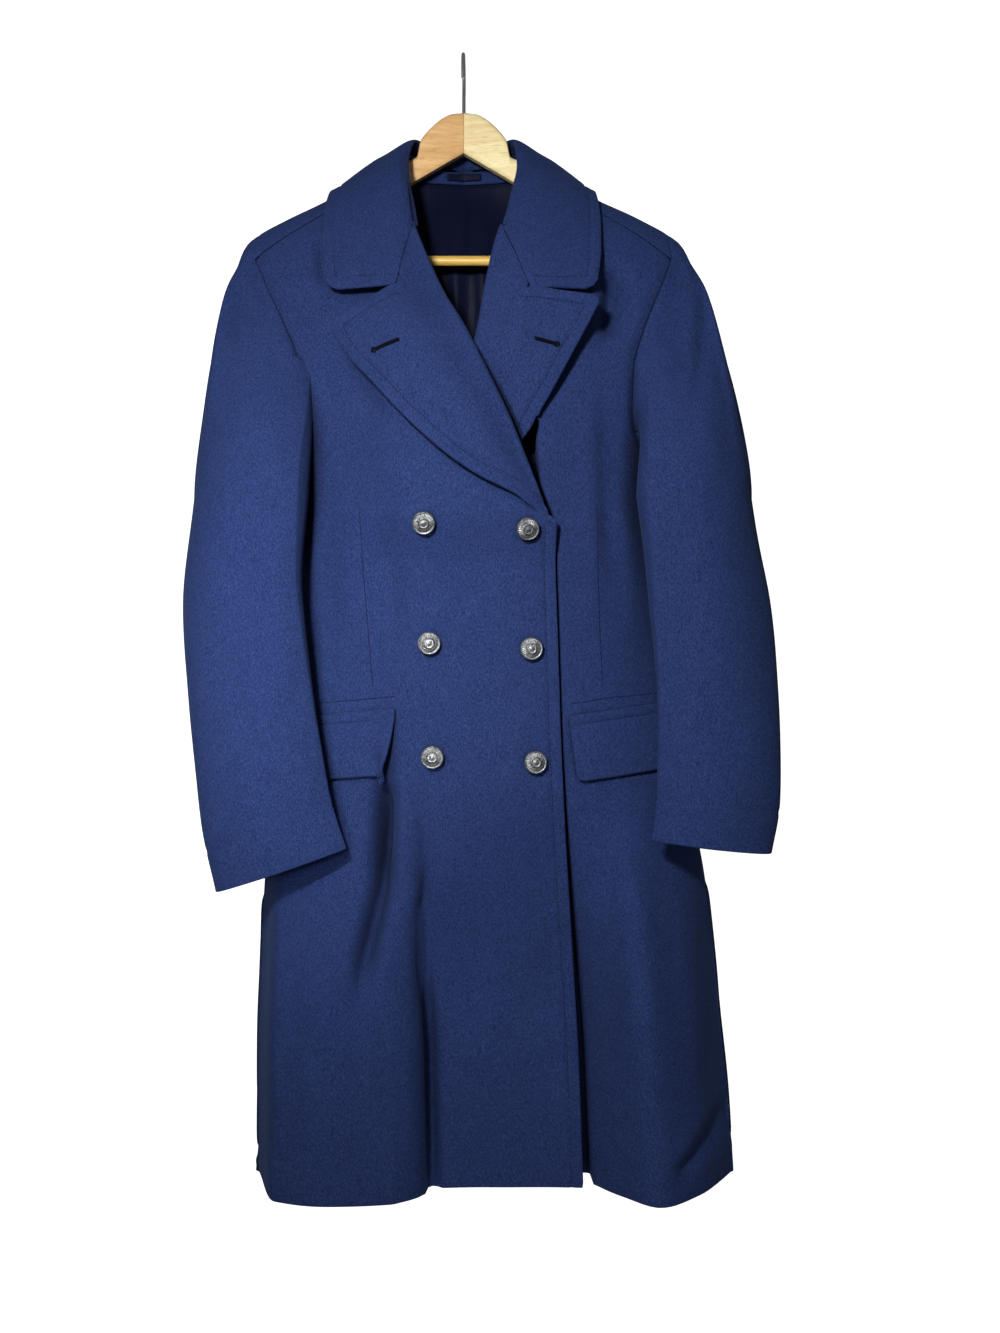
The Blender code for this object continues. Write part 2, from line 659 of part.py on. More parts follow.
def lapel_outline(which, rows, columns):
    """x and z over a lapel, from the roll line to its edge: the first row follows gorge, notch and corner."""
    edge = LAPEL_TOP_EDGE if which == "top" else LAPEL_UNDER_EDGE
    sign = -1 if which == "top" else 1
    t = np.linspace(0, 1, rows)
    w = np.linspace(0, 1, columns)
    roll_z = mix(GORGE_Z, edge[-1].z - 0.006, t)
    roll_x = read(ROLL, which, roll_z, "z")
    spot = np.linspace(0, 1, len(edge))
    edge_x = smooth_curve(spot, [point.x for point in edge], t)
    edge_z = smooth_curve(spot, [point.z for point in edge], t)
    x = mix(roll_x[:, None], edge_x[:, None], w[None])
    z = mix(roll_z[:, None], edge_z[:, None], w[None])
    notch_at = w[np.argmin(np.abs(w - NOTCH_SHARE))]
    top_x = np.interp(w, [0, notch_at, 1], [roll_x[0], sign * NOTCH_X, edge_x[0]])
    top_z = np.interp(w, [0, notch_at, 1], [roll_z[0], NOTCH_Z - NOTCH_GAP, edge_z[0]])
    fade = ease(1 - t / 0.45)[:, None]
    return x + fade * (top_x - x[0]), z + fade * (top_z - z[0])


def build_lapel(name, which, front, layer, rows=13, columns=8):
    """Turned lapel: the roll round the front's edge, and the leaf lying on the front."""
    tree = grid_tree(front.outer)
    x, z = lapel_outline(which, rows, columns)
    away = unit(np.stack([x[:, 1] - x[:, 0], z[:, 1] - z[:, 0]], -1))
    hidden_lift = 0.3 if which == "under" else 1.0
    outer, inner = [], []
    for i in range(rows):
        near_x, near_z = x[i, 0] + away[i, 0] * ROLL_RADIUS, z[i, 0] + away[i, 1] * ROLL_RADIUS
        base, out = smooth_front(near_x, near_z, layer)
        inward = unit(base - smooth_front(x[i, 0], z[i, 0], layer)[0])
        centre = base - out * (CLOTH / 2)
        row, back = [], []
        for degrees in ROLL_TURNS:
            turn = math.radians(degrees)
            spoke = out * math.sin(turn) - inward * math.cos(turn)
            row.append(centre + spoke * ROLL_RADIUS)
            back.append(centre + spoke * (ROLL_RADIUS - FOLDED))
        for j in range(columns):
            share = j / (columns - 1)
            shift = ROLL_RADIUS * (1 - share)
            spot_x, spot_z = x[i, j] + away[i, 0] * shift, z[i, j] + away[i, 1] * shift
            smooth, out = smooth_front(spot_x, spot_z, layer)
            hit = tree.ray_cast(Vector(smooth) + Vector(out) * 0.05, -Vector(out))[0]
            under = np.array(hit) if hit is not None else smooth
            lift = mix(1.0, hidden_lift, float(ease((i / (rows - 1) - 0.3) / 0.3)))
            rise = ROLL_RADIUS + LAPEL_LIFT * lift * float(ease(share * 2))
            row.append(under + out * rise)
            back.append(under + out * (rise - FOLDED))
        outer.append(row)
        inner.append(back)
    shell(name, np.array(outer), np.array(inner), wool())


# Collar

def collar_section(step):
    """Seam, fold and edge points of the collar; step runs -1 (wearer's right gorge) to +1 (left gorge)."""
    sign = math.copysign(1, step)

    def point(which):
        value = [float(read(COLLAR, f"{which}_{axis}", abs(step), "step")) for axis in "xyz"]
        return np.array([sign * value[0], value[1], value[2]])

    return point("seam"), point("fold"), point("edge")


def lifted(tree, point, clear, loose=False):
    """The point, moved out to lie at least that far outside the faces in the tree, or loosely off them."""
    place, out, _, distance = tree.find_nearest(Vector(point))
    if (Vector(point) - place).dot(out) >= clear or (loose and distance >= clear):
        return point
    return np.array(place + out * clear)


def outward_tree(*panels):
    """Tree over panels whose face normals point out of the coat."""
    grids = []
    for panel in panels:
        grid = panel.outer
        facing = np.cross(grid[0, 1] - grid[0, 0], grid[1, 0] - grid[0, 0])
        grids.append(grid if np.dot(facing, panel.normals[0, 0]) > 0 else grid[:, ::-1])
    return grid_tree(*grids)


def build_collar(panels, fall=7):
    tree = outward_tree(*panels)
    points = []
    w = np.linspace(0, 1, fall + 1)[1:]
    bend = np.interp(w, [0, NOTCH_SHARE, 1], [0, 1, 0])
    up = np.array([0, 0, 1.0])
    for step in [-step for step in COLLAR_STEPS[:0:-1]] + list(COLLAR_STEPS):
        seam, fold, edge = collar_section(step)
        sign = math.copysign(1, step)
        sweep = edge - fold
        out = unit(np.array([sweep[0], sweep[1], 0.0]))
        start = fold + out * COLLAR_ROLL * 1.8 - up * 0.0015
        stand = (seam, mix(seam, fold, 0.6), fold - out * COLLAR_ROLL * 0.3 - up * 0.002)
        row = [lifted(tree, place, FOLDED + 2 * GAP, loose=True) for place in stand]
        row.append(lifted(tree, fold + out * COLLAR_ROLL * 0.6, FOLDED + COLLAR_CLEAR * 0.6))
        row.append(lifted(tree, start, FOLDED + COLLAR_CLEAR))
        end_share = float(ease((abs(step) - 0.72) / 0.28))
        straight = mix(start, edge, NOTCH_SHARE)
        shift = np.array([sign * NOTCH_X + float(drift(NOTCH_Z)) - straight[0], 0, NOTCH_Z - straight[2]])
        for share, weight in zip(w, bend):
            place = mix(start, edge, share) + shift * weight * end_share
            place = place + out * 0.004 * math.sin(math.pi * share) * (1 - end_share)
            row.append(lifted(tree, place, FOLDED + COLLAR_CLEAR))
        points.append(row)
    outer = np.array(points)
    normals = surface_normals(outer, (0, 0, 0))
    if np.sum(normals[:, -1] * np.array([0, 0, 1.0])) < 0:
        normals = -normals
    shell("collar", outer, outer - normals * FOLDED, wool())


# Inside the back neck

def build_inside(backs):
    tree = grid_tree(*(panel.inner for panel in backs))

    def lay(name, x, z, clear, thick, finish):
        face = np.empty((*x.shape, 3))
        for spot in np.ndindex(x.shape):
            start = Vector((x[spot] + float(drift(z[spot])), 0.0, z[spot]))
            hit = tree.ray_cast(start, Vector((0, 1, 0)))[0]
            face[spot] = hit
        out = surface_normals(face, (0, 1, 0))
        shell(name, face - out * clear, face - out * (clear + thick), finish)

    # Even counts of columns keep the rays off the gap at the centre seam
    x, z = np.meshgrid(np.linspace(-FACING_HALF, FACING_HALF, 10), np.linspace(FACING_LOW_Z, FACING_TOP_Z, 3))
    lay("neck_facing", x, z, 2 * GAP, FOLDED, wool())
    x, z = np.meshgrid(np.linspace(-LOOP_HALF, LOOP_HALF, 6), np.linspace(LOOP_LOW_Z, LOOP_TOP_Z, 3))
    lay("loop", x, z, FOLDED + 4 * GAP, LOOP_THICK, satin())
    share = np.linspace(-1, 1, 12)
    z_low = np.linspace(LINING_LOW_Z, LINING_BEND_Z, 5)[:-1]
    z = np.concatenate([z_low, np.linspace(LINING_BEND_Z, FACING_LOW_Z - 0.003, 9)])
    reach = read(LINING, "half", z, "z")
    z = np.repeat(z[:, None], len(share), 1)
    lay("lining_back", reach[:, None] * share[None], z, LINING_SEAT, SATIN, satin())


# Flaps and buttons

def seat_on(tree, x, z):
    """Point of a front at the coat's own x and z, and the direction out of it."""
    start = Vector((x + float(drift(z)), -0.5, z))
    place, out, _, _ = tree.ray_cast(start, Vector((0, 1, 0)))
    return np.array(place), np.array(out if out.y < 0 else -out)


def build_flap(flap, front, rows=4, columns=9):
    tree = grid_tree(front.outer)
    sign = math.copysign(1, flap.inner)
    face = np.empty((rows, columns, 3))
    for i, j in np.ndindex(rows, columns):
        t, s = i / (rows - 1), j / (columns - 1)
        x = mix(flap.inner, flap.outer, s) + sign * flap.lean * t
        z = mix(flap.inner_z, flap.outer_z, s) - flap.depth * t
        face[i, j], _ = seat_on(tree, x, z)
    out = surface_normals(face, (0, -1, 0))
    lift = FLAP_SEAT + FLAP_LIFT * np.linspace(0, 1, rows)[:, None, None]
    shell(flap.name, face + out * (lift + FOLDED), face + out * lift, wool())


def turned(name, profile, steps):
    """Solid of revolution about Z from rows of radius and height, closed at both ends."""
    mesh = bmesh.new()
    verts = [mesh.verts.new((radius, 0, height)) for radius, height in profile]
    edges = [mesh.edges.new(pair) for pair in zip(verts, verts[1:])]
    bmesh.ops.spin(mesh, geom=verts + edges, cent=(0, 0, 0), axis=(0, 0, 1), angle=2 * math.pi, steps=steps,
                   use_merge=True, use_duplicate=False)
    bmesh.ops.remove_doubles(mesh, verts=mesh.verts, dist=1e-6)
    bmesh.ops.holes_fill(mesh, edges=[edge for edge in mesh.edges if edge.is_boundary], sides=0)
    return finish_mesh(name, mesh)


def build_buttons(front):
    tree = grid_tree(front.outer)
    radius = BUTTON_DIAMETER / 2
    profile = ((0.0026, 0.0), (0.0030, 0.0030), (radius * 0.90, 0.0042), (radius, 0.0058),
               (radius * 0.92, 0.0072), (radius * 0.55, 0.0090), (0.0008, 0.0096))
    places = [(sign, z) for sign in (-1, 1) for z in BUTTON_Z]
    for number, (sign, z) in enumerate(places, start=1):
        x = BUTTON_MIDDLE_X + sign * BUTTON_SPREAD
        z = z - (sign + 1) * BUTTON_SLIP / 2
        seat, out = seat_on(tree, x, z)
        name = f"button_{number}"
        made = add_object(name, turned(name, profile, BUTTON_STEPS), material("pewter", PEWTER, 0.38, 1.0))
        turn = Vector(out).to_track_quat("Z", "Y").to_matrix().to_4x4()
        made.matrix_world = Matrix.Translation(Vector(seat + out * BUTTON_SEAT)) @ turn


# Hanger

def arm_top(x):
    """Upper edge of an arm: an arch at the middle, then the line of the coat's shoulder just above it."""
    slope = 0.58
    under = ridge_z(x) - (CLOTH + ARM_RIDE) * math.sqrt(1 + slope * slope)
    arch = read(ARCH, "z", x, "x")
    return mix(arch, under, ease((x - 0.0375) / 0.0085))


def arm_low(x):
    return np.interp(x, [0, 0.150, 0.182, ARM_END_X],
                     [MITRE_LOW_Z, MITRE_LOW_Z - ARM_SLOPE * 0.150, ARM_END_LOW_Z, ARM_END_LOW_Z + 0.006])


def build_arm(name, sign, cutters):
    """Contoured arm: rounded sections set along a line that comes forward from the mitre."""
    mesh = bmesh.new()
    rings = []
    for x in np.concatenate([[GAP / 2], np.linspace(0.008, 0.064, 8), np.linspace(0.085, ARM_END_X, 7)]):
        low, high = float(arm_low(x)), float(arm_top(x))
        thick = ARM_THICK / 2 * float(np.interp(x, [0.04, 0.10, ARM_END_X], [1.0, 0.85, 0.75]))
        half = ((0.7 * thick, low), (thick, low + ARM_BEVEL), (thick, high - 2 * ARM_BEVEL),
                (0.5 * thick, high - 0.002))
        section = [(-across, z) for across, z in half] + [(0.0, high)] + list(half[::-1])
        y = MITRE_Y - TOE_IN * x
        rings.append([mesh.verts.new((sign * x, y + across, z)) for across, z in section])
    for one, two in zip(rings, rings[1:]):
        for a in range(len(one)):
            b = (a + 1) % len(one)
            mesh.faces.new((one[a], one[b], two[b], two[a]))
    mesh.faces.new(rings[0])
    mesh.faces.new(rings[-1])
    made = add_object(name, finish_mesh(name, mesh), beech())
    for cutter in cutters:
        cut = made.modifiers.new(cutter.name, "BOOLEAN")
        cut.operation = "DIFFERENCE"
        cut.object = cutter


def rod(name, start, end, radius, cutter=False, sides=12):
    mesh = bmesh.new()
    along = Vector(end) - Vector(start)
    bmesh.ops.create_cone(mesh, cap_ends=True, segments=sides, radius1=radius, radius2=radius,
                          depth=along.length)
    made = add_object(name, finish_mesh(name, mesh), beech())
    turn = along.to_track_quat("Z", "Y").to_matrix().to_4x4()
    made.matrix_world = Matrix.Translation((Vector(start) + Vector(end)) / 2) @ turn
    if cutter:
        made.hide_render = True
        made.display_type = "WIRE"
    return made


def build_hook():
    """Wire hook: a stem in the mitre, a bend, and a round crown that opens to the front."""
    ring = HOOK_RADIUS + WIRE_RADIUS
    points = [(0, MITRE_Y, APEX_Z - SOCKET_DEPTH + GAP), (0, MITRE_Y, APEX_Z), (0, MITRE_Y, APEX_Z + 0.006)]
    for degrees in np.linspace(HOOK_START, HOOK_END, 15):
        turn = math.radians(degrees)
        points.append((0, ring * math.cos(turn), ring * math.sin(turn) - HOOK_RADIUS))
    data = bpy.data.curves.new("hanger_hook", "CURVE")
    data.dimensions = "3D"
    data.bevel_depth = WIRE_RADIUS
    data.bevel_resolution = 2
    data.use_fill_caps = True
    line = data.splines.new("POLY")
    line.points.add(len(points) - 1)
    for spot, place in zip(line.points, points):
        spot.co = (*place, 1.0)
    data.materials.append(material("steel", STEEL, 0.3, 1.0))
    made = bpy.data.objects.new("hanger_hook", data)
    bpy.context.collection.objects.link(made)


def build_hanger():
    bar_y = MITRE_Y - TOE_IN * BAR_HALF
    rod("hanger_bar", (-BAR_HALF, bar_y, BAR_Z), (BAR_HALF, bar_y, BAR_Z), BAR_RADIUS)
    bore = rod("bar_bore", (-BAR_HALF - GAP, bar_y, BAR_Z), (BAR_HALF + GAP, bar_y, BAR_Z),
               BAR_RADIUS + GAP, cutter=True)
    stem = rod("stem_bore", (0, MITRE_Y, APEX_Z - SOCKET_DEPTH), (0, MITRE_Y, APEX_Z + 0.02),
               WIRE_RADIUS + GAP, cutter=True)
    build_arm("hanger_arm_right", -1, (bore, stem))
    build_arm("hanger_arm_left", 1, (bore, stem))
    build_hook()


def main():
    for old in list(bpy.data.objects):
        bpy.data.objects.remove(old, do_unlink=True)
    front_right = build_front("front_right", "top", top_layer)
    front_left = build_front("front_left", "under", under_layer)
    back_right = build_back("back_right", -1)
    back_left = build_back("back_left", 1)
    build_sleeve("right", SLEEVE_RIGHT, front_right, back_right)
    build_sleeve("left", SLEEVE_LEFT, front_left, back_left)
    build_lapel("lapel_right", "top", front_right, top_layer)
    build_lapel("lapel_left", "under", front_left, under_layer)
    build_collar((front_right, front_left, back_right, back_left))
    build_inside((back_right, back_left))
    for flap, front in zip(FLAPS, (front_right, front_left)):
        build_flap(flap, front)
    build_buttons(front_right)
    build_hanger()


main()
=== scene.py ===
"""Looks for the navy overcoat on its wooden hanger: folded cloth, sewing, buttons, lining and wood.

Metres, +Z up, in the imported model's own frame. The coat faces -Y, and left and right are the wearer's.
The body's surface and its tables are those of the part's solids; folds and sewing are added on top.
"""
import math
from collections import namedtuple

import bmesh
import bpy
import numpy as np
from mathutils import Matrix, Vector
from mathutils.bvhtree import BVHTree


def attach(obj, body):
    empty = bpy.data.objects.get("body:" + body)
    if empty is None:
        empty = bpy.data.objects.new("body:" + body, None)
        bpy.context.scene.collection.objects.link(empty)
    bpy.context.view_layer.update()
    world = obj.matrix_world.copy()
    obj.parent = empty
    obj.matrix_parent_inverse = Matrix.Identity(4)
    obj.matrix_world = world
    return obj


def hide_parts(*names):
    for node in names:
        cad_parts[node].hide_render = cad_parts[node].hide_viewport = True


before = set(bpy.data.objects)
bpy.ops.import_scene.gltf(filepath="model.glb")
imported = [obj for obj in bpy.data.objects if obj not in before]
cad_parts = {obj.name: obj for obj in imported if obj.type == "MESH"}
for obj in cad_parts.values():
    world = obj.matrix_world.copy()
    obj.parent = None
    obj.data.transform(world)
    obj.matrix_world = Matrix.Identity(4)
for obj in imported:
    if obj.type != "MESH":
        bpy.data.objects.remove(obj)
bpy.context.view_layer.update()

Step = namedtuple("Step", "start over")
AHEAD = np.array([0, -1.0, 0])
UP = np.array([0, 0, 1.0])


def table(fields, *rows):
    """Rows of values, with a name for each column."""
    kind = namedtuple("Row", fields)
    return [kind(*row) for row in rows]


# The photograph's camera, and the scale of its picture in pixels
CAMERA = (0.038, -1.51, -0.634)
PICTURE_WIDTH = 1000
PICTURE_HEIGHT = 1333
PICTURE_FOCAL = 1450
SENSOR_HEIGHT = 24.0

# Thicknesses
CLOTH = 0.0026
FOLDED = 0.0034
SATIN = 0.0010
LOOP_THICK = 0.0020

# Heights and lean
HEM_Z = -1.158
ARMPIT_Z = -0.425
BREAK_Z = {"top": -0.494, "under": -0.460}
BREAK_EASE = 0.014
GORGE_Z = -0.194
DRIFT = 0.035
DRIFT_TOP = -0.21

# Shoulders
ROUND = 0.070
SHOULDER_BLEND = 0.15
SEAM_DROP = 0.029
NECK_DROP = 0.012
NECK_X = 0.064
TIP_X = 0.2125
MITRE_Y = 0.0153
MITRE_SOFT = 1e-5
TOE_IN = 0.18
CREST_SHARE = 0.8
BACK_ARMHOLE_SHARE = 0.86

# Closure: the right front and lapel are the top ones, the left ones lie under them
OUTWARD = {"top": -1, "under": 1}
FRONT_EDGE_X = 0.079
EDGE_LEAN = 0.009
EDGE_LEANS = Step(-0.70, 0.36)
UNDER_EDGE_X = -0.060
BUTTON_MIDDLE_X = 0.0042
BUTTON_SPREAD = 0.0495
BUTTON_Z = (-0.4945, -0.6115, -0.7225)
BUTTON_SLIP = 0.005
OVERLAP_GAP = 0.0022
OVERLAP_STARTS = Step(UNDER_EDGE_X - 0.040, 0.035)
SKIRT_STAND = 0.006
SKIRT_OPENS = Step(-0.80, 0.30)
LAPEL_STAND = 0.013
STAND_LOW = Step(-0.54, 0.06)
STAND_HIGH = Step(-0.26, 0.05)
STAND_SIDE = Step(-0.13, 0.06)

# The body: half widths, depths and squareness by height, then the folds that it falls into at the hem
TORSO = table(
    "z half side_y front back box",
    (-1.160, 0.2475, 0.000, 0.080, 0.050, 2.6),
    (-1.034, 0.241, 0.000, 0.082, 0.048, 2.4),
    (-0.878, 0.231, 0.000, 0.084, 0.046, 2.2),
    (-0.740, 0.212, -0.004, 0.084, 0.044, 2.1),
    (-0.610, 0.188, -0.008, 0.080, 0.040, 2.0),
    (-0.480, 0.182, -0.010, 0.088, 0.046, 2.0),
    (-0.425, 0.190, -0.012, 0.088, 0.048, 2.0),
    (-0.370, 0.212, -0.014, 0.085, 0.048, 2.0),
    (-0.300, 0.230, -0.018, 0.074, 0.046, 2.0),
    (-0.200, 0.238, -0.022, 0.054, 0.040, 2.0),
    (-0.080, 0.240, -0.022, 0.036, 0.034, 2.0),
)
SIDE_KEPT = 0.985
SLOPE_STEP = 0.002
FOLDS_START = Step(-0.74, 0.24)
HEM_HALF = 0.244
HEM_FRONT = table(
    "x depth",
    (-HEM_HALF, 0.000), (-0.214, 0.088), (-0.160, 0.103), (-0.100, 0.0965), (-0.088, 0.086),
    (-0.076, 0.067), (-0.066, 0.041), (0.000, 0.038), (0.090, 0.040), (0.122, 0.072),
    (0.158, 0.104), (0.200, 0.072), (HEM_HALF, 0.000),
)
HEM_BACK = table(
    "x depth",
    (-HEM_HALF, 0.000), (-0.195, 0.046), (-0.120, 0.062), (-0.055, 0.044), (0.010, 0.056),
    (0.070, 0.042), (0.135, 0.064), (0.200, 0.044), (HEM_HALF, 0.000),
)
SHOULDER = table(
    "x z",
    (0.000, -0.080), (0.050, -0.098), (0.143, -0.154), (0.180, -0.1745), (0.2125, -0.194),
    (0.240, -0.218),
)
NECKLINE = table(
    "x turn",
    (0.000, 49), (0.020, 45), (0.037, 31), (0.045, 17), (0.051, 4), (0.056, -9), (0.0605, -22),
    (NECK_X, -34),
)
NECK_COLUMNS = 0.42

# The lapels' roll lines by height, the top lapel's and the under one's
ROLL = table(
    "z top under",
    (-0.497, 0.0768, -0.0760), (-0.484, 0.0742, -0.0733), (-0.4706, 0.0674, -0.0678),
    (-0.455, 0.0619, -0.0615), (-0.4184, 0.0488, -0.0420), (-0.382, 0.0347, -0.0200),
    (-0.316, 0.0058, 0.0078), (-0.252, -0.0248, 0.0223), (-0.194, -0.0462, 0.0384),
    (-0.165, -0.0560, 0.0530), (-0.118, -0.0640, 0.0640),
)
ROLL_SETBACK = 0.0095
SETBACK_TOP = Step(-0.15, 0.04)

ARMHOLE = table(
    "step z front_x back_x",
    (0.00, -0.425, 0.190, 0.190),
    (0.10, -0.419, 0.180, 0.185),
    (0.22, -0.402, 0.169, 0.179),
    (0.36, -0.374, 0.165, 0.176),
    (0.52, -0.338, 0.167, 0.178),
    (0.70, -0.295, 0.181, 0.186),
    (0.86, -0.255, 0.199, 0.199),
    (1.00, -0.223, 0.2125, 0.2125),
)

# Sleeves: rings from the upper arm to the cuff, with turns and tilts in degrees
RING = "z x y long short turn tilt"
SLEEVE_RIGHT = table(
    RING,
    (-0.466, -0.2225, -0.064, 0.068, 0.046, 40, 0),
    (-0.567, -0.2347, -0.068, 0.068, 0.042, 30, 2),
    (-0.670, -0.2273, -0.080, 0.067, 0.035, 20, 6),
    (-0.770, -0.2152, -0.092, 0.0665, 0.030, 13, 13),
    (-0.833, -0.2020, -0.097, 0.066, 0.026, 10, 19),
)
SLEEVE_LEFT = table(
    RING,
    (-0.466, 0.2245, -0.064, 0.068, 0.046, 40, 0),
    (-0.567, 0.2355, -0.068, 0.068, 0.042, 30, 1),
    (-0.670, 0.2393, -0.080, 0.065, 0.035, 20, 3),
    (-0.760, 0.2343, -0.092, 0.063, 0.030, 13, 5),
    (-0.809, 0.2256, -0.097, 0.060, 0.026, 10, 7),
)
SLEEVE_NUDGE = {-1: 0.0035, 1: -0.0015}
SLEEVE_LEAVE = 0.5
SLEEVE_HANG = 0.9
SLEEVE_PINCH = 1.7
SLEEVE_TWIST = -0.06
ARMPIT_STEEP = 80
HEAD_POWER = 0.9
FRONT_SEAM_SHARE = 7 / 9
BACK_SEAM_SHARE = 4 / 9
LAY_PASSES = 12
LOOP_PASSES = 2
WRINKLE_ROWS = 9
ROPE_HEIGHT = 0.0026
ROPE_REST = 0.85
ROPE_AT = 0.007
ROPE_STARTS = Step(-0.41, 0.08)
ROPE_RESTS = Step(-0.05, 0.04)
CUFF_HEM = 0.040
CUFF_DIP = 0.0007
CUFF_DIP_WIDTH = 0.003

# Sleeve heads below the shoulders' tips: rows and columns that are evened out, and their filling
TIP_ROWS = 26
TIP_REACH = 20
TIP_SOFT = 8
TIP_FULL = 0.0055
TIP_FULL_ROWS = 30
TIP_FULL_STARTS = Step(1, 6)
TIP_FULL_SIDE = 1.2
TIP_FULL_UP = 0.6
TIP_PASSES = 4
TIP_RUNS = 2
TIP_KEPT = Step(2, 12)

# Collar: points of its seam, fold and edge from the middle of the back to the gorge
COLLAR = table(
    "step seam_x seam_y seam_z fold_x fold_y fold_z edge_x edge_y edge_z",
    (0.00, 0.000, 0.0375, -0.1035, 0.000, 0.042, -0.072, 0.000, 0.078, -0.150),
    (0.22, 0.036, 0.0320, -0.1010, 0.034, 0.036, -0.073, 0.082, 0.062, -0.147),
    (0.45, 0.058, 0.0030, -0.0990, 0.050, 0.008, -0.080, 0.132, 0.002, -0.138),
    (0.65, 0.0590, -0.030, -0.130, 0.054, -0.026, -0.112, 0.139, -0.055, -0.190),
    (0.82, 0.0495, -0.0435, -0.160, 0.0485, -0.049, -0.155, 0.1345, -0.075, -0.236),
    (1.00, 0.0435, -0.0585, -0.1935, 0.0420, -0.064, -0.191, 0.131, -0.088, -0.262),
)
# Its stand, from the seam to where the fall starts: share of the way, share from seam to fold, then how
# far past the fold it goes, out in rolls and up in metres
COLLAR_STAND = table(
    "share fold out up",
    (0.00, 0.0, 0.0, 0.0),
    (0.42, 0.6, 0.0, 0.0),
    (0.68, 1.0, -0.3, -0.0020),
    (0.86, 1.0, 0.6, 0.0012),
    (1.00, 1.0, 1.8, -0.0015),
)
COLLAR_STATIONS = 151
STAND_POINTS = 18
STAND_FIXED = 9
FALL_POINTS = 46
STAND_CLEAR = 0.0006
STAND_CLEARS = Step(0.6, 0.4)
STAND_LOOSE = 0.7
COLLAR_CLEAR = 0.0042
COLLAR_ROLL = 0.0048
COLLAR_LIFT = 0.007
COLLAR_LIFTS = Step(0.62, 0.25)
COLLAR_ENDS = Step(0.72, 0.28)
COLLAR_BULGE = 0.004
COLLAR_CORNER = 0.010
COLLAR_PASSES = 30
COLLAR_LAST_PASSES = 3
COLLAR_EDGE_PASSES = 30
FOLD_PASSES = 26
FOLD_ENDS = Step(0.72, 0.16)
FOLD_FIRST = Step(4, 5)
FOLD_LAST = Step(36, 10)
NOTCH_X = 0.0620
NOTCH_Z = -0.2590
NOTCH_SHARE = 0.45
NOTCH_GAP = 0.004
GORGE_ROWS = 24
GORGE_PULL = FOLDED / 2 + 0.0002
GORGE_PULL_ROWS = 10
GORGE_REST = 0.3
COLLAR_STITCH_ROW = 9

# Lapels: their outer edges, from corner to break
LAPEL_EDGE = {
    "top": table(
        "x z",
        (-0.1250, -0.3045), (-0.1070, -0.3355), (-0.0815, -0.3640), (-0.0570, -0.3920),
        (-0.0285, -0.4200), (0.0080, -0.4485), (0.0480, -0.4705), (0.0735, -0.4945),
    ),
    "under": table(
        "x z",
        (0.1270, -0.280), (0.1100, -0.312), (0.0910, -0.346), (0.0715, -0.380), (0.0515, -0.411),
        (0.0150, -0.434), (-0.0400, -0.454),
    ),
}
LAPEL_ROWS = 150
LAPEL_COLUMNS = 62
LAPEL_LIFT = 0.013
LAPEL_FOOT = 0.0015
LAPEL_SAG = 0.003
LAPEL_TAIL = 0.0066
LAPEL_CORNER = 0.009
LAPEL_TOP_FADE = 0.45
LAPEL_EDGE_END = 8
LEAF_PASSES = 30
LAPEL_PASSES = 4
RAY_START = 0.05
FRONT_RAY_Y = -0.5
ROLL_RADIUS = 0.0056
ROLL_LEAST = 0.0036
ROLL_THINS = Step(0.60, 0.38)
ROLL_TURNS = np.linspace(-50, 84, 9)
TAIL_SINKS = Step(0.86, 0.14)
HIDDEN_LIFT = 0.3
HIDDEN_FROM = Step(0.3, 0.3)
CORNER_CURL = 0.010
CURL_REACH = 0.20

# Dark hollow beside the top lapel's roll and front edge, where the layers under them fall back
HOLLOW = table(
    "z x",
    (-0.300, 0.0060), (-0.345, 0.0270), (-0.370, 0.0390), (-0.385, 0.0560), (-0.395, 0.0690),
    (-0.4104, 0.0664), (-0.4263, 0.0668), (-0.4421, 0.0684), (-0.452, 0.0690), (-0.4657, 0.0726),
    (-0.4796, 0.0781), (-0.4914, 0.0818),
)
PARTING = table(
    "z width",
    (-0.52, 0.0028), (-0.70, 0.0032), (-0.85, 0.0046), (-1.00, 0.0066), (-1.13, 0.0090),
)
HOLLOW_DEPTH = 0.022
HOLLOW_WIDTH = 0.040
HOLLOW_EASE = 0.012
HOLLOW_WALL = 0.002
HOLLOW_TOP = Step(-0.316, 0.03)
HOLLOW_LOW = Step(-0.515, 0.02)
SLOT_DEPTH = 0.030
SLOT_WIDTH = 0.014
SLOT_EASE = 0.004
SLOT_TOP = Step(-0.385, 0.02)
SINK_DEPTH = 0.014
SINK_WIDTH = 0.014
SINK_WALL = 0.0025
SINK_BESIDE = 0.0065
SINK_DRAWS = Step(-0.32, 0.09)
EDGE_TROUGH = 0.003
TROUGH_BESIDE = 0.004
TROUGH_WIDTH = 0.010
TROUGH_DEEPENS = Step(-0.56, 0.40)

FLAPS = table(
    "name inner outer inner_z outer_z depth lean curl",
    ("flap_right", -0.0816, -0.196, -0.6766, -0.688, 0.062, 0.006, 0.0100),
    ("flap_left", 0.0902, 0.194, -0.684, -0.671, 0.062, 0.006, 0.0008),
)
FLAP_ROWS = 40
FLAP_COLUMNS = 76
FLAP_PASSES = 12
FLAP_LIFT = 0.002
FLAP_SEAT = 0.0013
FLAP_CURL_DOWN = 1.2
FLAP_CURL_REACH = 0.13
FLAP_CORNER = 0.006
FLAP_INSET = 0.008

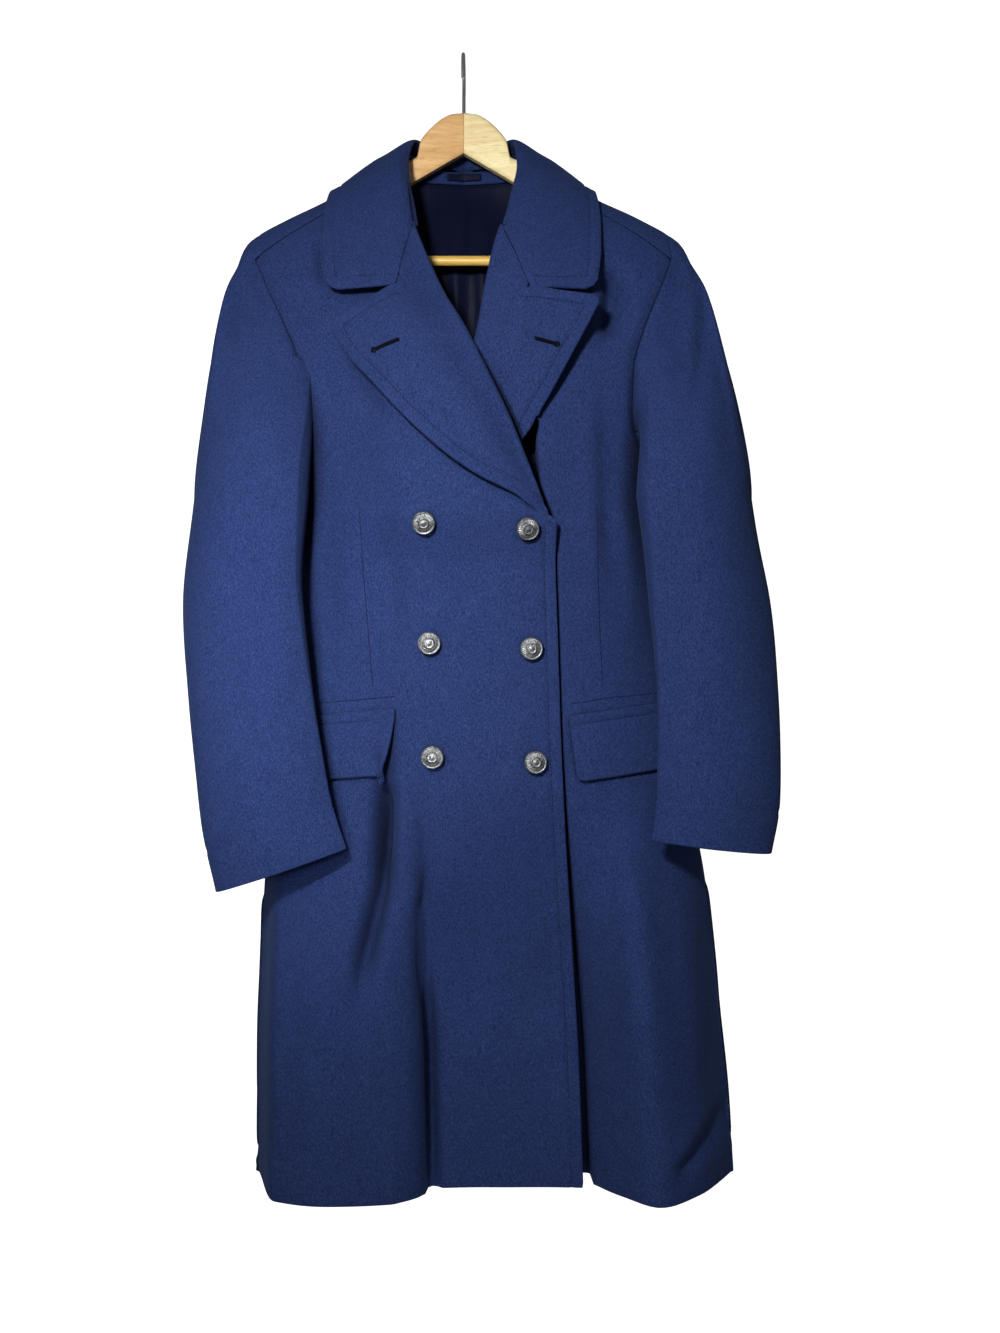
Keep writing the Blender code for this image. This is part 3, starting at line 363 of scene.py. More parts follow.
# Inside of the back neck. Even counts of columns keep the rays off the gap at the centre seam.
FACING_COLUMNS = 60
FACING_ROWS = 10
FACING_HALF = 0.044
FACING_TOP_Z = -0.1095
FACING_LOW_Z = -0.1190
FACING_SEAT = 0.0006
LOOP_COLUMNS = 30
LOOP_ROWS = 8
LOOP_HALF = 0.018
LOOP_TOP_Z = -0.1105
LOOP_LOW_Z = -0.1160
LOOP_SEAT = FOLDED + 0.0012
LINING_COLUMNS = 120
LINING_ROWS = 110
LINING_LOW_Z = -0.70
LINING_TOP_GAP = 0.003
LINING_SEAT = 0.0016
LINING = table(
    "z half",
    (LINING_LOW_Z, 0.145), (ARMPIT_Z, 0.140), (-0.25, 0.122), (FACING_LOW_Z, FACING_HALF),
)
LINING_FOLDS_START = Step(FACING_LOW_Z, 0.05)
LINING_FOLDS = table(
    "place lean width height",
    (-0.031, 0.03, 0.009, 0.0026), (-0.017, -0.05, 0.006, 0.0016), (-0.001, 0.05, 0.008, 0.0030),
    (0.013, -0.04, 0.006, 0.0018), (0.027, 0.06, 0.009, 0.0026), (0.060, 0.10, 0.012, 0.0030),
    (-0.062, -0.10, 0.012, 0.0030),
)
INSIDE_REACH = 0.035
INSIDE_PASSES = 6
INSIDE_FACING_PASSES = 20

# Hanger
APEX_Z = -0.0523
MITRE_LOW_Z = -0.0954
ARM_SLOPE = 0.645
ARM_LOW_X = 0.150
ARM_HEEL_X = 0.182
ARM_END_X = 0.196
ARM_END_LOW_Z = -0.2300
ARM_END_RISE = 0.006
ARM_THICK = 0.013
ARM_THINS = table("x share", (0.04, 1.0), (0.10, 0.85), (ARM_END_X, 0.75))
ARM_BEVEL = 0.0045
ARM_CROWN = 2.2 * ARM_BEVEL
ARM_EDGE = ((0.70, 0.0), (0.88, 0.45), (0.97, 0.85), (1.0, 1.4))
ARM_TURNS = np.radians((20, 40, 60, 75))
ARM_ROUND_ACROSS = 0.8
ARM_ROUND_UP = 1.1
ARM_STATIONS = np.concatenate([np.linspace(0.00015, 0.064, 60), np.linspace(0.066, ARM_END_X, 60)])
ARM_RIDE = 0.0013
ARM_RIDE_SLOPE = 0.58
ARM_UNDER_COAT = Step(0.0450, 0.0050)
ARM_SHARP = 38
ARCH = table(
    "x z",
    (0.000, APEX_Z), (0.012, -0.0542), (0.023, -0.0599), (0.034, -0.0700), (0.040, -0.0768),
    (0.044, -0.0826), (0.0465, -0.0880), (0.048, -0.0935), (0.054, -0.1050),
)
BAR_Z = -0.2168
BAR_RADIUS = 0.0051
BAR_HALF = 0.187
BAR_SIDES = 48
BAR_SHARP = 40

# Fine grids
FRONT_LOW_ROWS = 165
FRONT_HIGH_ROWS = 66
FRONT_COLUMNS = 92
BACK_COLUMNS = 62
BACK_RIDGE_ROWS = 26
SLEEVE_HEAD_ROWS = 46
SLEEVE_ROWS = 100
NEAR_EDGE = np.array((0.0, 1.2, 2.6, 4.5, 6.5, 8.3, 9.4, 10.5, 11.6, 12.7, 14.5, 17.5, 22.0)) / 1000
SIDE_ROUNDS = 3
GATHER_SHARES = (0, 0.40, 0.60, 1)
GATHER_BEFORE = 0.045
GATHER_AFTER = 0.035
GATHER_LIMITS = (0.1, 0.9)

# Folds and dents on the side that the photograph shows. Each row has a width in its pixels, a height in
# millimetres, and then the places of its line, across and down in pixels.
FRONT_CREASES = (
    # wearer's right sleeve
    (9, -3.0, 263, 285, 262, 305, 264, 335),
    (12, 3.0, 240, 284, 241, 315, 248, 352),
    (11, -2.6, 229, 300, 226, 330, 232, 360),
    (16, 1.6, 272, 360, 278, 440, 276, 520),
    (22, -1.4, 232, 420, 240, 520, 226, 610),
    (14, 1.6, 205, 470, 208, 560, 204, 640),
    (18, -2.0, 268, 560, 262, 620, 240, 668),
    (15, 1.7, 286, 600, 280, 660, 262, 715),
    (16, -1.6, 222, 640, 240, 700, 268, 745),
    (14, 1.3, 226, 720, 236, 780, 248, 840),
    (16, -1.4, 290, 740, 288, 790, 284, 840),
    (9, -1.6, 246, 264, 254, 276, 262, 292),
    # wearer's left sleeve
    (10, 3.0, 690, 283, 692, 305, 693, 330),
    (8, -3.6, 705, 312, 703, 345, 701, 372, 698, 405),
    (14, 1.8, 668, 330, 664, 380, 668, 430),
    (18, -1.6, 724, 400, 722, 470, 716, 540),
    (14, 1.5, 690, 470, 692, 550, 700, 620),
    (15, -1.8, 664, 560, 676, 620, 700, 660),
    (14, 1.4, 744, 560, 748, 640, 746, 720),
    (18, -1.4, 716, 650, 712, 720, 722, 790),
    (13, 1.2, 684, 690, 686, 750, 690, 810),
    # fronts above the waist
    (15, -3.6, 382, 440, 384, 520, 392, 600, 398, 690),
    (14, 2.6, 408, 470, 412, 560, 416, 660, 414, 700),
    (11, 2.0, 345, 440, 348, 520, 352, 620),
    (9, -1.6, 330, 470, 331, 560, 335, 660),
    (11, -2.8, 318, 340, 326, 380, 336, 420),
    (16, 1.6, 300, 290, 316, 320, 330, 370),
    (10, 2.2, 586, 380, 590, 440, 594, 520, 598, 620),
    (11, -2.6, 607, 360, 606, 420, 607, 500, 612, 600),
    (10, 1.8, 622, 480, 626, 560, 634, 640),
    (18, -1.4, 470, 540, 474, 620, 478, 700),
    (16, 1.1, 500, 560, 503, 640, 507, 720),
    (12, -22.0, 611, 262, 616, 290, 614, 318, 604, 342),
    (9, -8.0, 321, 236, 321, 262, 324, 288),
    (13, -7.0, 336, 342, 350, 378, 371, 406, 398, 434),
    # skirt
    (10, -24.0, 383, 762, 384, 840, 384, 880, 375, 920, 366, 960, 357, 1015),
    (9, -20.0, 381, 776, 384, 800, 384, 840, 383, 892),
    (5, -16.0, 417, 905, 421, 960, 428, 1000, 432, 1050, 433, 1120, 432, 1260),
    (5, -5.0, 412, 752, 417, 790, 425, 830, 431, 866, 424, 900, 415, 935),
    (9, 3.6, 411, 900, 411, 980, 410, 1080, 408, 1190),
    (12, 6.0, 396, 790, 397, 850, 407, 895, 414, 930),
    (20, 2.6, 352, 800, 348, 860, 340, 950, 332, 1040),
    (18, -2.0, 300, 930, 292, 1000, 290, 1090, 296, 1170),
    (20, 1.8, 322, 980, 318, 1080, 322, 1180),
    (10, -2.0, 272, 1080, 268, 1130, 272, 1170),
    (7, 2.2, 265, 1150, 270, 1172, 278, 1196),
    (20, -1.6, 398, 960, 392, 1060, 392, 1160),
    (15, 1.8, 424, 800, 440, 860, 452, 930),
    (18, -1.6, 470, 800, 478, 900, 484, 1010),
    (17, 1.5, 505, 820, 508, 940, 506, 1080, 502, 1180),
    (15, -1.4, 540, 800, 546, 920, 552, 1060),
    (15, -2.2, 612, 790, 606, 880, 604, 1000, 606, 1120),
    (16, 2.4, 636, 800, 634, 900, 636, 1020, 640, 1150),
    (18, -2.2, 664, 860, 668, 960, 670, 1060, 664, 1140),
    (14, 2.0, 690, 880, 696, 980, 702, 1080),
    (8, -7.5, 730, 1096, 716, 1122, 702, 1146, 688, 1168, 676, 1196),
    (12, 3.4, 710, 1100, 694, 1132, 676, 1164),
    (12, 3.0, 732, 1128, 722, 1152, 706, 1180),
)

# Folds on the back: width and height, then places of x and z, all in millimetres
BACK_CREASES = (
    (16, -2.6, -60, -215, -66, -300, -58, -400, -62, -520),
    (18, 2.2, -104, -230, -112, -320, -100, -430),
    (16, -2.4, 70, -220, 82, -310, 74, -420, 82, -540),
    (18, 2.0, 118, -240, 124, -330, 116, -440),
    (13, -3.0, -150, -330, -140, -380, -118, -430),
    (13, -2.8, 168, -330, 156, -385, 132, -440),
    (20, 2.2, -20, -560, -26, -680, -22, -800),
    (18, -2.4, 40, -600, 52, -740, 46, -900),
    (16, 2.0, -90, -620, -96, -760, -92, -900),
    (22, -2.4, -130, -760, -140, -920, -136, -1100),
    (22, 2.4, 110, -720, 124, -880, 128, -1080),
    (18, -2.0, 184, -800, 196, -940, 200, -1100),
    (20, 2.0, 6, -880, 2, -1000, 8, -1130),
    (15, -2.0, -212, -520, -226, -580, -214, -650),
    (14, 2.0, -246, -430, -252, -520, -244, -620),
    (15, -2.0, 236, -520, 250, -590, 244, -660),
    (14, 2.0, 270, -430, 276, -520, 272, -620),
)
FADE_LEAST = 0.15
FADE_OVER = 0.3
FACING_GAIN = 1.3
WAVE_COUNT = 14
WAVE_LENGTH = (0.06, 0.16)
WAVE_WAY = (1.0, 1.0, 0.45)
WAVE_HEIGHT = 0.0007
WAVE_SEEDS = {"body": 7, "lapel": 11, "collar": 5}
FOLDED_WAVES = 0.5

# Hairline seams of darts and pocket jets, in the photograph's pixels; their dark lines paint the shade
# of the seams
HAIRLINES = table(
    "piece points",
    ("front_right", ((359, 505), (363, 570), (368, 630), (373, 692))),
    ("front_left", ((597, 505), (598, 570), (600, 630), (603, 692))),
    ("front_right", ((319, 703), (357, 700), (399, 696))),
    ("front_left", ((570, 704), (615, 697), (658, 693))),
)

# Buttonholes: open end and keyhole end, in the photograph's pixels
BUTTONHOLES = table(
    "piece start end",
    ("lapel_right", (399, 339), (374, 350)),
    ("lapel_left", (535, 338), (557, 344)),
)

# Sewing
STITCH_INSET = 0.0105
STITCH_STEP = 0.0034
STITCH_SHARE = 0.74
STITCH_RADIUS = 0.00042
STITCH_TOWARD = 12
INSET_KEPT = 0.93
GROOVE_DEPTH = 0.0013
GROOVE_WIDTH = 0.0015
SEAM_PULL = 0.0015
SEAM_RADIUS = 0.00055
SEAM_STEP = 0.006
SEAM_FIRST_ROW = FRONT_LOW_ROWS + 14
ARMHOLE_DIP = 0.0022
ARMHOLE_DIP_WIDTH = 0.006
ARMHOLE_DIP_ROWS = 16
THREAD_SIDES = 6
THREAD_TAPER = ((0.0, 0.35), (0.18, 0.9), (0.5, 1.05), (0.82, 0.9), (1.0, 0.35))
NARROWEST_CUT = 0.011
RIM_TURNS = np.radians((45, 90, 135))
HOLE_HALF = 0.0009
HOLE_STEP = 0.0012
HOLE_PROUD = 0.0004
HOLE_THREAD = 0.0010
HOLE_OVERLAP = 0.2
EYE_RADIUS = 0.0021
EYE_THREAD = 0.0011
EYE_STEPS = 12

# Buttons: radii as shares of the button's own
BUTTON_RADIUS = 0.01125
BUTTON_SEAT = 0.0005
BUTTON_STEPS = 144
BUTTON_SPIN = 0.7
BUTTON_BACK = (
    (0.23, 0.0), (0.25, 0.0030), (0.88, 0.0040), (0.97, 0.0047), (1.0, 0.0056), (0.995, 0.0064),
)
BUTTON_FACE = np.concatenate([np.linspace(0.02, 0.42, 12), np.linspace(0.45, 0.98, 24)])[::-1]
BUTTON_RIM_HEIGHT = 0.0056
DOME_HEIGHT = 0.0038
DOME_FLATNESS = 0.92
BUTTON_RELIEF = table(
    "share width height",
    (0.93, 0.05, 0.0007), (0.40, 0.04, 0.0004), (0.0, 0.16, 0.0005),
)
FLUTE_COUNT = 28
FLUTE_DEPTH = 0.00045
FLUTE_FIRST = Step(0.44, 0.06)
FLUTE_LAST = Step(0.86, 0.06)
FRONT_HOLE_NEAR = 0.006
FRONT_HOLE_PAST = 0.0032
FRONT_HOLE_THREAD = 0.0009

# Looks and light
WOOL_DARK = (0.0057, 0.0123, 0.0500)
WOOL_MIDDLE = (0.0142, 0.0278, 0.0985)
WOOL_LIGHT = (0.0315, 0.0520, 0.1610)
WOOL_SHEEN = 0.04
# Painted shade: seam lines and stitch threads use the wool darkened by this factor, for the shade in
# their grooves
SEAM_PAINTED_SHADE = 0.45
WHITE = (1.0, 1.0, 1.0)
# Painted shade: ambient occlusion within this reach darkens the wool's base colour, down to this floor
PAINTED_SHADE_REACH = 0.022
PAINTED_SHADE_FLOOR = (0.04, 0.04, 0.06)
PAINTED_SHADE_SAMPLES = 6
SATIN_COLOUR = (0.0035, 0.0048, 0.017)
# Buttonhole thread; its near-black also paints the shade inside the buttonholes' slits
THREAD_AND_SLIT_SHADE_COLOUR = (0.002, 0.0025, 0.006)
STEEL_COLOUR = (0.62, 0.62, 0.62)
PEWTER_DARK = (0.060, 0.062, 0.063)
PEWTER_LIGHT = (0.245, 0.252, 0.255)
WOODS = table(
    "name tilt dark light",
    ("wood_right", -1, (0.64, 0.355, 0.138), (0.81, 0.52, 0.238)),
    ("wood_left", 1, (0.745, 0.56, 0.27), (0.90, 0.80, 0.445)),
    ("wood_bar", 0, (0.58, 0.355, 0.062), (0.745, 0.485, 0.10)),
)
WORLD_COLOUR = (0.95, 0.97, 1.0)
WORLD_LIGHT = 0.15
STAGE_COLOUR = (0.9, 0.9, 0.9)
BACKDROP_GLOW = 1.0
FLOOR_GLOW = 0.85
BACKDROP_RADIUS = 2.4
BACKDROP_STEPS = 64
CEILING_Z = 4.0
FLOOR_Z = -2.5
LIGHTS = table(
    "name place target size spread power",
    ("key", (-0.24, -1.27, -0.20), (0.02, -0.08, -0.52), 0.15, 100, 6.7),
    ("side", (-0.38, -1.45, -0.66), (-0.28, -0.10, -0.64), 0.20, 34, 0.55),
    ("low", (0.16, -1.35, -1.00), (0.08, -0.08, -1.05), 0.30, 50, 0.20),
    ("back", (0.10, 1.70, -0.20), (0.03, 0.06, -0.62), 0.90, 120, 6.0),
)


# Small helpers

def hermite(t, start, end, leave, arrive, reach):
    """Cubic from start to end that sets off and arrives along two directions, times its reach."""
    bend = reach * ((t**3 - 2 * t**2 + t) * leave + (t**3 - t**2) * arrive)
    return (2 * t**3 - 3 * t**2 + 1) * start + (3 * t**2 - 2 * t**3) * end + bend


def smooth_curve(knots, values, at):
    """Monotone cubic through the knots, held level past both ends."""
    knots = np.asarray(knots, float)
    values = np.asarray(values, float)
    at = np.clip(np.asarray(at, float), knots[0], knots[-1])
    step = np.diff(knots)
    slope = np.diff(values) / step
    before, after = slope[:-1], slope[1:]
    same = before * after > 0
    total = np.where(same, before + after, 1.0)
    tangent = np.empty_like(values)
    tangent[0], tangent[-1] = slope[0], slope[-1]
    tangent[1:-1] = np.where(same, 2 * before * after / total, 0.0)
    i = np.clip(np.searchsorted(knots, at, side="right") - 1, 0, len(step) - 1)
    share = (at - knots[i]) / step[i]
    return hermite(share, values[i], values[i + 1], tangent[i], tangent[i + 1], step[i])


def read(rows, name, at, by):
    """One column of a table, read smoothly along another column."""
    pairs = sorted((getattr(row, by), getattr(row, name)) for row in rows)
    return smooth_curve([pair[0] for pair in pairs], [pair[1] for pair in pairs], at)


def ease(t):
    t = np.clip(t, 0, 1)
    return t * t * (3 - 2 * t)


def rises(at, step):
    """Soft step from 0 at its start to 1 at its end."""
    return ease((at - step.start) / step.over)


def falls(at, step):
    """Soft step that is 0 at its start and grows to 1 on the way down from it."""
    return ease((step.start - at) / step.over)


def bell(gap, width):
    return np.exp(-(gap / width) ** 2)


def mix(a, b, t):
    return a + (b - a) * t


def unit(vectors):
    return vectors / np.maximum(np.linalg.norm(vectors, axis=-1, keepdims=True), 1e-12)


def moved(points, normals, by):
    """Points moved along their normals."""
    return points + normals * np.asarray(by)[..., None]


# The coat's body as two height fields, front and back

def drift(z):
    return DRIFT * np.maximum(0, DRIFT_TOP - z)


def ridge_z(x):
    return read(SHOULDER, "z", np.abs(x), "x")


def ridge_y(x):
    return MITRE_Y - TOE_IN * np.sqrt(x * x + MITRE_SOFT)


def seam_drop(x):
    """How far the shoulder seam lies below the ridge, on the front."""
    return mix(NECK_DROP, SEAM_DROP, np.clip((np.abs(x) - NECK_X) / (TIP_X - NECK_X), 0, 1))


def half_width(z):
    return read(TORSO, "half", z, "z")


def torso(x, z, side):
    """Point on the cloth's outer face. x is from the leaning middle; side is -1 front, +1 back."""
    x, z, side = np.broadcast_arrays(*(np.asarray(value, float) for value in (x, z, side)))
    across = np.clip(np.abs(x) / half_width(z), 0, 1)
    below = np.maximum(ridge_z(x) - z, 0)
    rise = np.sqrt(1 - (1 - np.clip(below / ROUND, 0, 1)) ** 2)
    base_y = mix(ridge_y(x), read(TORSO, "side_y", z, "z"), ease(below / SHOULDER_BLEND))
    front = side < 0
    depth = np.where(front, read(TORSO, "front", z, "z"), read(TORSO, "back", z, "z"))
    plain = depth * np.sqrt(1 - across ** read(TORSO, "box", z, "z")) * rise
    hem_x = x * HEM_HALF / half_width(z)
    folded = [read(hem, "depth", hem_x, "x") for hem in (HEM_FRONT, HEM_BACK)]
    y = base_y + side * mix(plain, np.where(front, *folded), falls(z, FOLDS_START))
    return np.stack([x + drift(z), y, z], -1)


def grid_normals(points):
    """Unit normals of a grid of points, on the side that its own order gives."""
    return unit(np.cross(np.gradient(points, axis=0), np.gradient(points, axis=1)))


def surface_normals(points, toward):
    """Unit normals of a grid of points, on the side that the direction names."""
    normals = grid_normals(points)
    return -normals if np.sum(normals * toward) < 0 else normals


def body_normal(x, z, side):
    """Direction out of the body's own surface, taken a little inside its side seams."""
    limit = SIDE_KEPT * half_width(z) - SLOPE_STEP
    x = np.clip(x, -limit, limit)
    across = torso(x + SLOPE_STEP, z, side) - torso(x - SLOPE_STEP, z, side)
    up = torso(x, z + SLOPE_STEP, side) - torso(x, z - SLOPE_STEP, side)
    return -side * unit(np.cross(across, up))


def front_normal(x, z):
    return body_normal(x, z, -1)


# How far each front lies outside the body's own surface

def inner_line(z, which):
    """Front edge below the break, set-back roll line above it, then the neckline."""
    setback = OUTWARD[which] * ROLL_SETBACK * falls(z, SETBACK_TOP)
    rolled = read(ROLL, which, z, "z") + setback
    leaning = FRONT_EDGE_X + EDGE_LEAN * falls(z, EDGE_LEANS)
    edge = leaning if which == "top" else UNDER_EDGE_X
    return mix(edge, rolled, rises(z, Step(BREAK_Z[which], BREAK_EASE)))


def top_layer(x, z):
    """The wearer's right front passes over the left one and its lapel, so it stands out there."""
    lapel = rises(z, STAND_LOW) * falls(z, STAND_HIGH) * rises(x, STAND_SIDE)
    stand = CLOTH + OVERLAP_GAP + SKIRT_STAND * falls(z, SKIRT_OPENS)
    return rises(x, OVERLAP_STARTS) * stand + LAPEL_STAND * lapel


def under_layer(x, z):
    """The left front lies on the body, but falls back a little behind the right front's edge."""
    beside = x - inner_line(z, "top") - TROUGH_BESIDE
    return -EDGE_TROUGH * bell(beside, TROUGH_WIDTH) * falls(z, TROUGH_DEEPENS)


def bare_layer(x, z):
    """The left lapel is laid over the body as if its front had no hollow."""
    return np.zeros(np.broadcast(x, z).shape)


def hollow_side(z):
    """Where the left front's hollow ends: by the right lapel's roll and the right front's edge."""
    parting = inner_line(z, "top") + read(PARTING, "width", z, "z")
    return mix(parting, read(HOLLOW, "x", z, "z"), rises(z, HOLLOW_LOW))


def hollow_depth(x, z):
    """How far the left front falls straight back behind the right lapel's roll and front edge."""
    beside = x - hollow_side(z)
    broad = HOLLOW_DEPTH * rises(beside, Step(-HOLLOW_WIDTH, HOLLOW_EASE))
    broad = broad * falls(z, HOLLOW_TOP) * rises(z, HOLLOW_LOW)
    slot = SLOT_DEPTH * rises(beside, Step(-SLOT_WIDTH, SLOT_EASE)) * falls(z, SLOT_TOP)
    return (broad + slot) * (1 - ease(beside / HOLLOW_WALL + 0.5))


def smooth_front(x, z, layer):
    """Point on a front's smooth outer face and the direction out of it."""
    x, z = np.broadcast_arrays(np.asarray(x, float), np.asarray(z, float))
    out = front_normal(x, z)
    return moved(torso(x, z, -1), out, layer(x, z)), out


# Creases

def picture_place(points):
    """Where points fall in the photograph, in pixels."""
    away = points[..., 1] - CAMERA[1]
    across = PICTURE_WIDTH / 2 + PICTURE_FOCAL * (points[..., 0] - CAMERA[0]) / away
    down = PICTURE_HEIGHT / 2 - PICTURE_FOCAL * (points[..., 2] - CAMERA[2]) / away
    return np.stack([across, down], -1)


def picture_ray(place):
    """Start and direction of the camera's ray through a place in the photograph."""
    across = (place[0] - PICTURE_WIDTH / 2) / PICTURE_FOCAL
    down = (place[1] - PICTURE_HEIGHT / 2) / PICTURE_FOCAL
    return Vector(CAMERA), Vector((across, 1.0, -down)).normalized()


def length_along(line):
    """Length from a line's first point to each of its points."""
    return np.concatenate([[0], np.cumsum(np.linalg.norm(np.diff(line, axis=0), axis=1))])


def places_along(line, places):
    """Points of a line at some lengths from its start."""
    gone = length_along(line)
    return np.stack([np.interp(places, gone, line[:, axis]) for axis in range(3)], -1)


def line_distance(places, points):
    """Distance of flat places to a line, and the share of its length where it is nearest."""
    starts = length_along(points)
    nearest = np.full(places.shape[:-1], np.inf)
    share = np.zeros(places.shape[:-1])
    for number, (start, end) in enumerate(zip(points, points[1:])):
        way = end - start
        t = np.clip(((places - start) @ way) / (way @ way), 0, 1)
        gap = np.linalg.norm(places - start - t[..., None] * way, axis=-1)
        closer = gap < nearest
        nearest = np.where(closer, gap, nearest)
        gone = mix(starts[number], starts[number + 1], t)
        share = np.where(closer, gone / starts[-1], share)
    return nearest, share


def crease_height(places, creases):
    """Sum of soft ridges and troughs that fade out at both ends of their lines."""
    total = np.zeros(places.shape[:-1])
    for width, height, *line in creases:
        gap, share = line_distance(places, np.reshape(line, (-1, 2)).astype(float))
        fade = (1 - FADE_LEAST) * ease(share / FADE_OVER) * ease((1 - share) / FADE_OVER)
        total += height / 1000 * (FADE_LEAST + fade) * bell(gap, width)
    return total


def waves(points, piece):
    """Slow uneven waves over the cloth, the same for all pieces of the body."""
    chance = np.random.default_rng(WAVE_SEEDS[piece])
    height = np.zeros(points.shape[:-1])
    for _ in range(WAVE_COUNT):
        length = chance.uniform(*WAVE_LENGTH)
        way = unit(chance.normal(size=3) * WAVE_WAY)
        height += np.sin(points @ way * 2 * math.pi / length + chance.uniform(0, 2 * math.pi))
    return WAVE_HEIGHT * height / math.sqrt(WAVE_COUNT)


def wrinkled(points, normals):
    """Points moved along their normals by the creases of the side that they face."""
    front = ease(-FACING_GAIN * normals[..., 1])
    back = ease(FACING_GAIN * normals[..., 1])
    height = front * crease_height(picture_place(points), FRONT_CREASES)
    height = height + back * crease_height(points[..., (0, 2)] * 1000, BACK_CREASES)
    return moved(points, normals, height + waves(points, "body"))


# Grids of points

def smoothed(points, passes):
    """Grid with its inner points drawn towards their neighbours."""
    points = points.copy()
    for _ in range(passes):
        near = (points[:-2, 1:-1] + points[2:, 1:-1] + points[1:-1, :-2] + points[1:-1, 2:]) / 4
        points[1:-1, 1:-1] = mix(points[1:-1, 1:-1], near, 0.5)
    return points


def smooth_line(points, passes, share=0.5):
    """Line, or rows of points, with the small steps along it evened out."""
    for _ in range(passes):
        points[1:-1] = mix(points[1:-1], (points[:-2] + points[2:]) / 2, share)
    return points


def lengths(points, axis):
    """Length along a grid from its first row or column."""
    steps = np.linalg.norm(np.diff(points, axis=axis), axis=-1)
    first = np.zeros_like(np.take(steps, [0], axis))
    return np.concatenate([first, np.cumsum(steps, axis=axis)], axis)


def round_corner(points, last_row, last_column, radius):
    """Grid with one of its corners rounded off."""
    turn = (slice(None, None, -1 if last_row else 1), slice(None, None, -1 if last_column else 1))
    grid = points[turn]
    p = np.clip(1 - lengths(grid, 1) / radius, 0, 1)
    q = np.clip(1 - lengths(grid, 0) / radius, 0, 1)
    across = unit(np.gradient(grid, axis=1))
    down = unit(np.gradient(grid, axis=0))
    grid = moved(grid, across, radius * p * (1 - np.sqrt(1 - q * q / 2)))
    return moved(grid, down, radius * q * (1 - np.sqrt(1 - p * p / 2)))[turn]


def pull_in(points, *edges):
    """Draw edges of a grid back, one after the other, to leave a seam's groove."""
    columns = points.swapaxes(0, 1)
    rows_from = {"first_column": columns, "last_column": columns[::-1], "last_row": points[::-1]}
    for edge in edges:
        rows = rows_from[edge]
        rows[0] += unit(rows[1] - rows[0]) * SEAM_PULL


# Meshes

def mesh_from(name, points, faces):
    mesh = bpy.data.meshes.new(name)
    mesh.from_pydata(points, [], faces)
    mesh.shade_smooth()
    mesh.validate()
    return mesh


def place_mesh(name, mesh, finish):
    mesh.materials.append(finish)
    made = bpy.data.objects.new(name, mesh)
    bpy.context.collection.objects.link(made)
    return made


def bind(made, node=None):
    """Tie a piece to the body, and hide the solid that it stands for."""
    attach(made, "root")
    if node is not None:
        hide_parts(node)


def ring_faces(rings, around):
    """Faces of a closed body made of rings of points, with a cap at each end."""
    faces = []
    for start in range(0, (rings - 1) * around, around):
        for number in range(around):
            one, two = start + number, start + (number + 1) % around
            faces.append((one, two, two + around, one + around))
    last = (rings - 1) * around
    return faces + [tuple(range(around))[::-1], tuple(range(last, last + around))]


def grid_quads(rows, columns):
    """Corners of each cell of a grid of points."""
    index = np.arange(rows * columns).reshape(rows, columns)
    corners = [index[:-1, :-1], index[:-1, 1:], index[1:, 1:], index[1:, :-1]]
    return np.stack(corners, -1).reshape(-1, 4)


def looks_out(grid, normals):
    """Whether the faces of a grid, in its own order, look along its normals."""
    row, column = grid.shape[0] // 2, grid.shape[1] // 2
    corner = grid[row, column]
    facing = np.cross(grid[row, column + 1] - corner, grid[row + 1, column] - corner)
    return np.dot(facing, normals[row, column]) >= 0


def rim_of(rows, columns):
    """Index pairs round a grid, each with its neighbour further in."""
    top = [(0, j) for j in range(columns)]
    right = [(i, columns - 1) for i in range(1, rows)]
    low = [(rows - 1, j) for j in range(columns - 2, -1, -1)]
    left = [(i, 0) for i in range(rows - 2, 0, -1)]
    rim = np.array(top + right + low + left)
    return tuple(rim.T), (np.clip(rim[:, 0], 1, rows - 2), np.clip(rim[:, 1], 1, columns - 2))


def cloth_mesh(name, outer, normals, thick):
    """Closed wall of cloth behind a grid of points, with a round edge."""
    rows, columns = outer.shape[:2]
    size = rows * columns
    inner = outer - normals * thick
    rim, inside = rim_of(rows, columns)
    edge, edge_normal = outer[rim], normals[rim]
    away = edge - outer[inside]
    away = unit(away - edge_normal * np.sum(away * edge_normal, -1, keepdims=True))
    middle = edge - edge_normal * thick / 2
    rings = [middle + (edge_normal * math.cos(turn) + away * math.sin(turn)) * thick / 2
             for turn in RIM_TURNS]
    points = np.concatenate([outer.reshape(-1, 3), inner.reshape(-1, 3), *rings])
    quads = grid_quads(rows, columns)
    faces = [quads, quads[:, ::-1] + size]
    first = rim[0] * columns + rim[1]
    count = len(first)
    between = [2 * size + number * count + np.arange(count) for number in range(len(rings))]
    loops = [first, *between, first + size]
    for one, two in zip(loops, loops[1:]):
        faces.append(np.stack([one, two, np.roll(two, -1), np.roll(one, -1)], -1))
    faces = np.concatenate(faces)
    if not looks_out(outer, normals):
        faces = faces[:, ::-1]
    return mesh_from(name, points.tolist(), faces.tolist())


def flat_size(points):
    """Width, length and area of the cut that a grid of points was bent from."""
    across = lengths(points, 1)[:, -1]
    down = lengths(points, 0)[-1]
    sides = np.cross(points[1:, 1:] - points[:-1, :-1], points[1:, :-1] - points[:-1, 1:])
    return float(across.max()), float(down.max()), float(np.linalg.norm(sides, axis=-1).sum() / 2)


Cloth = namedtuple("Cloth", "outer inner normals")


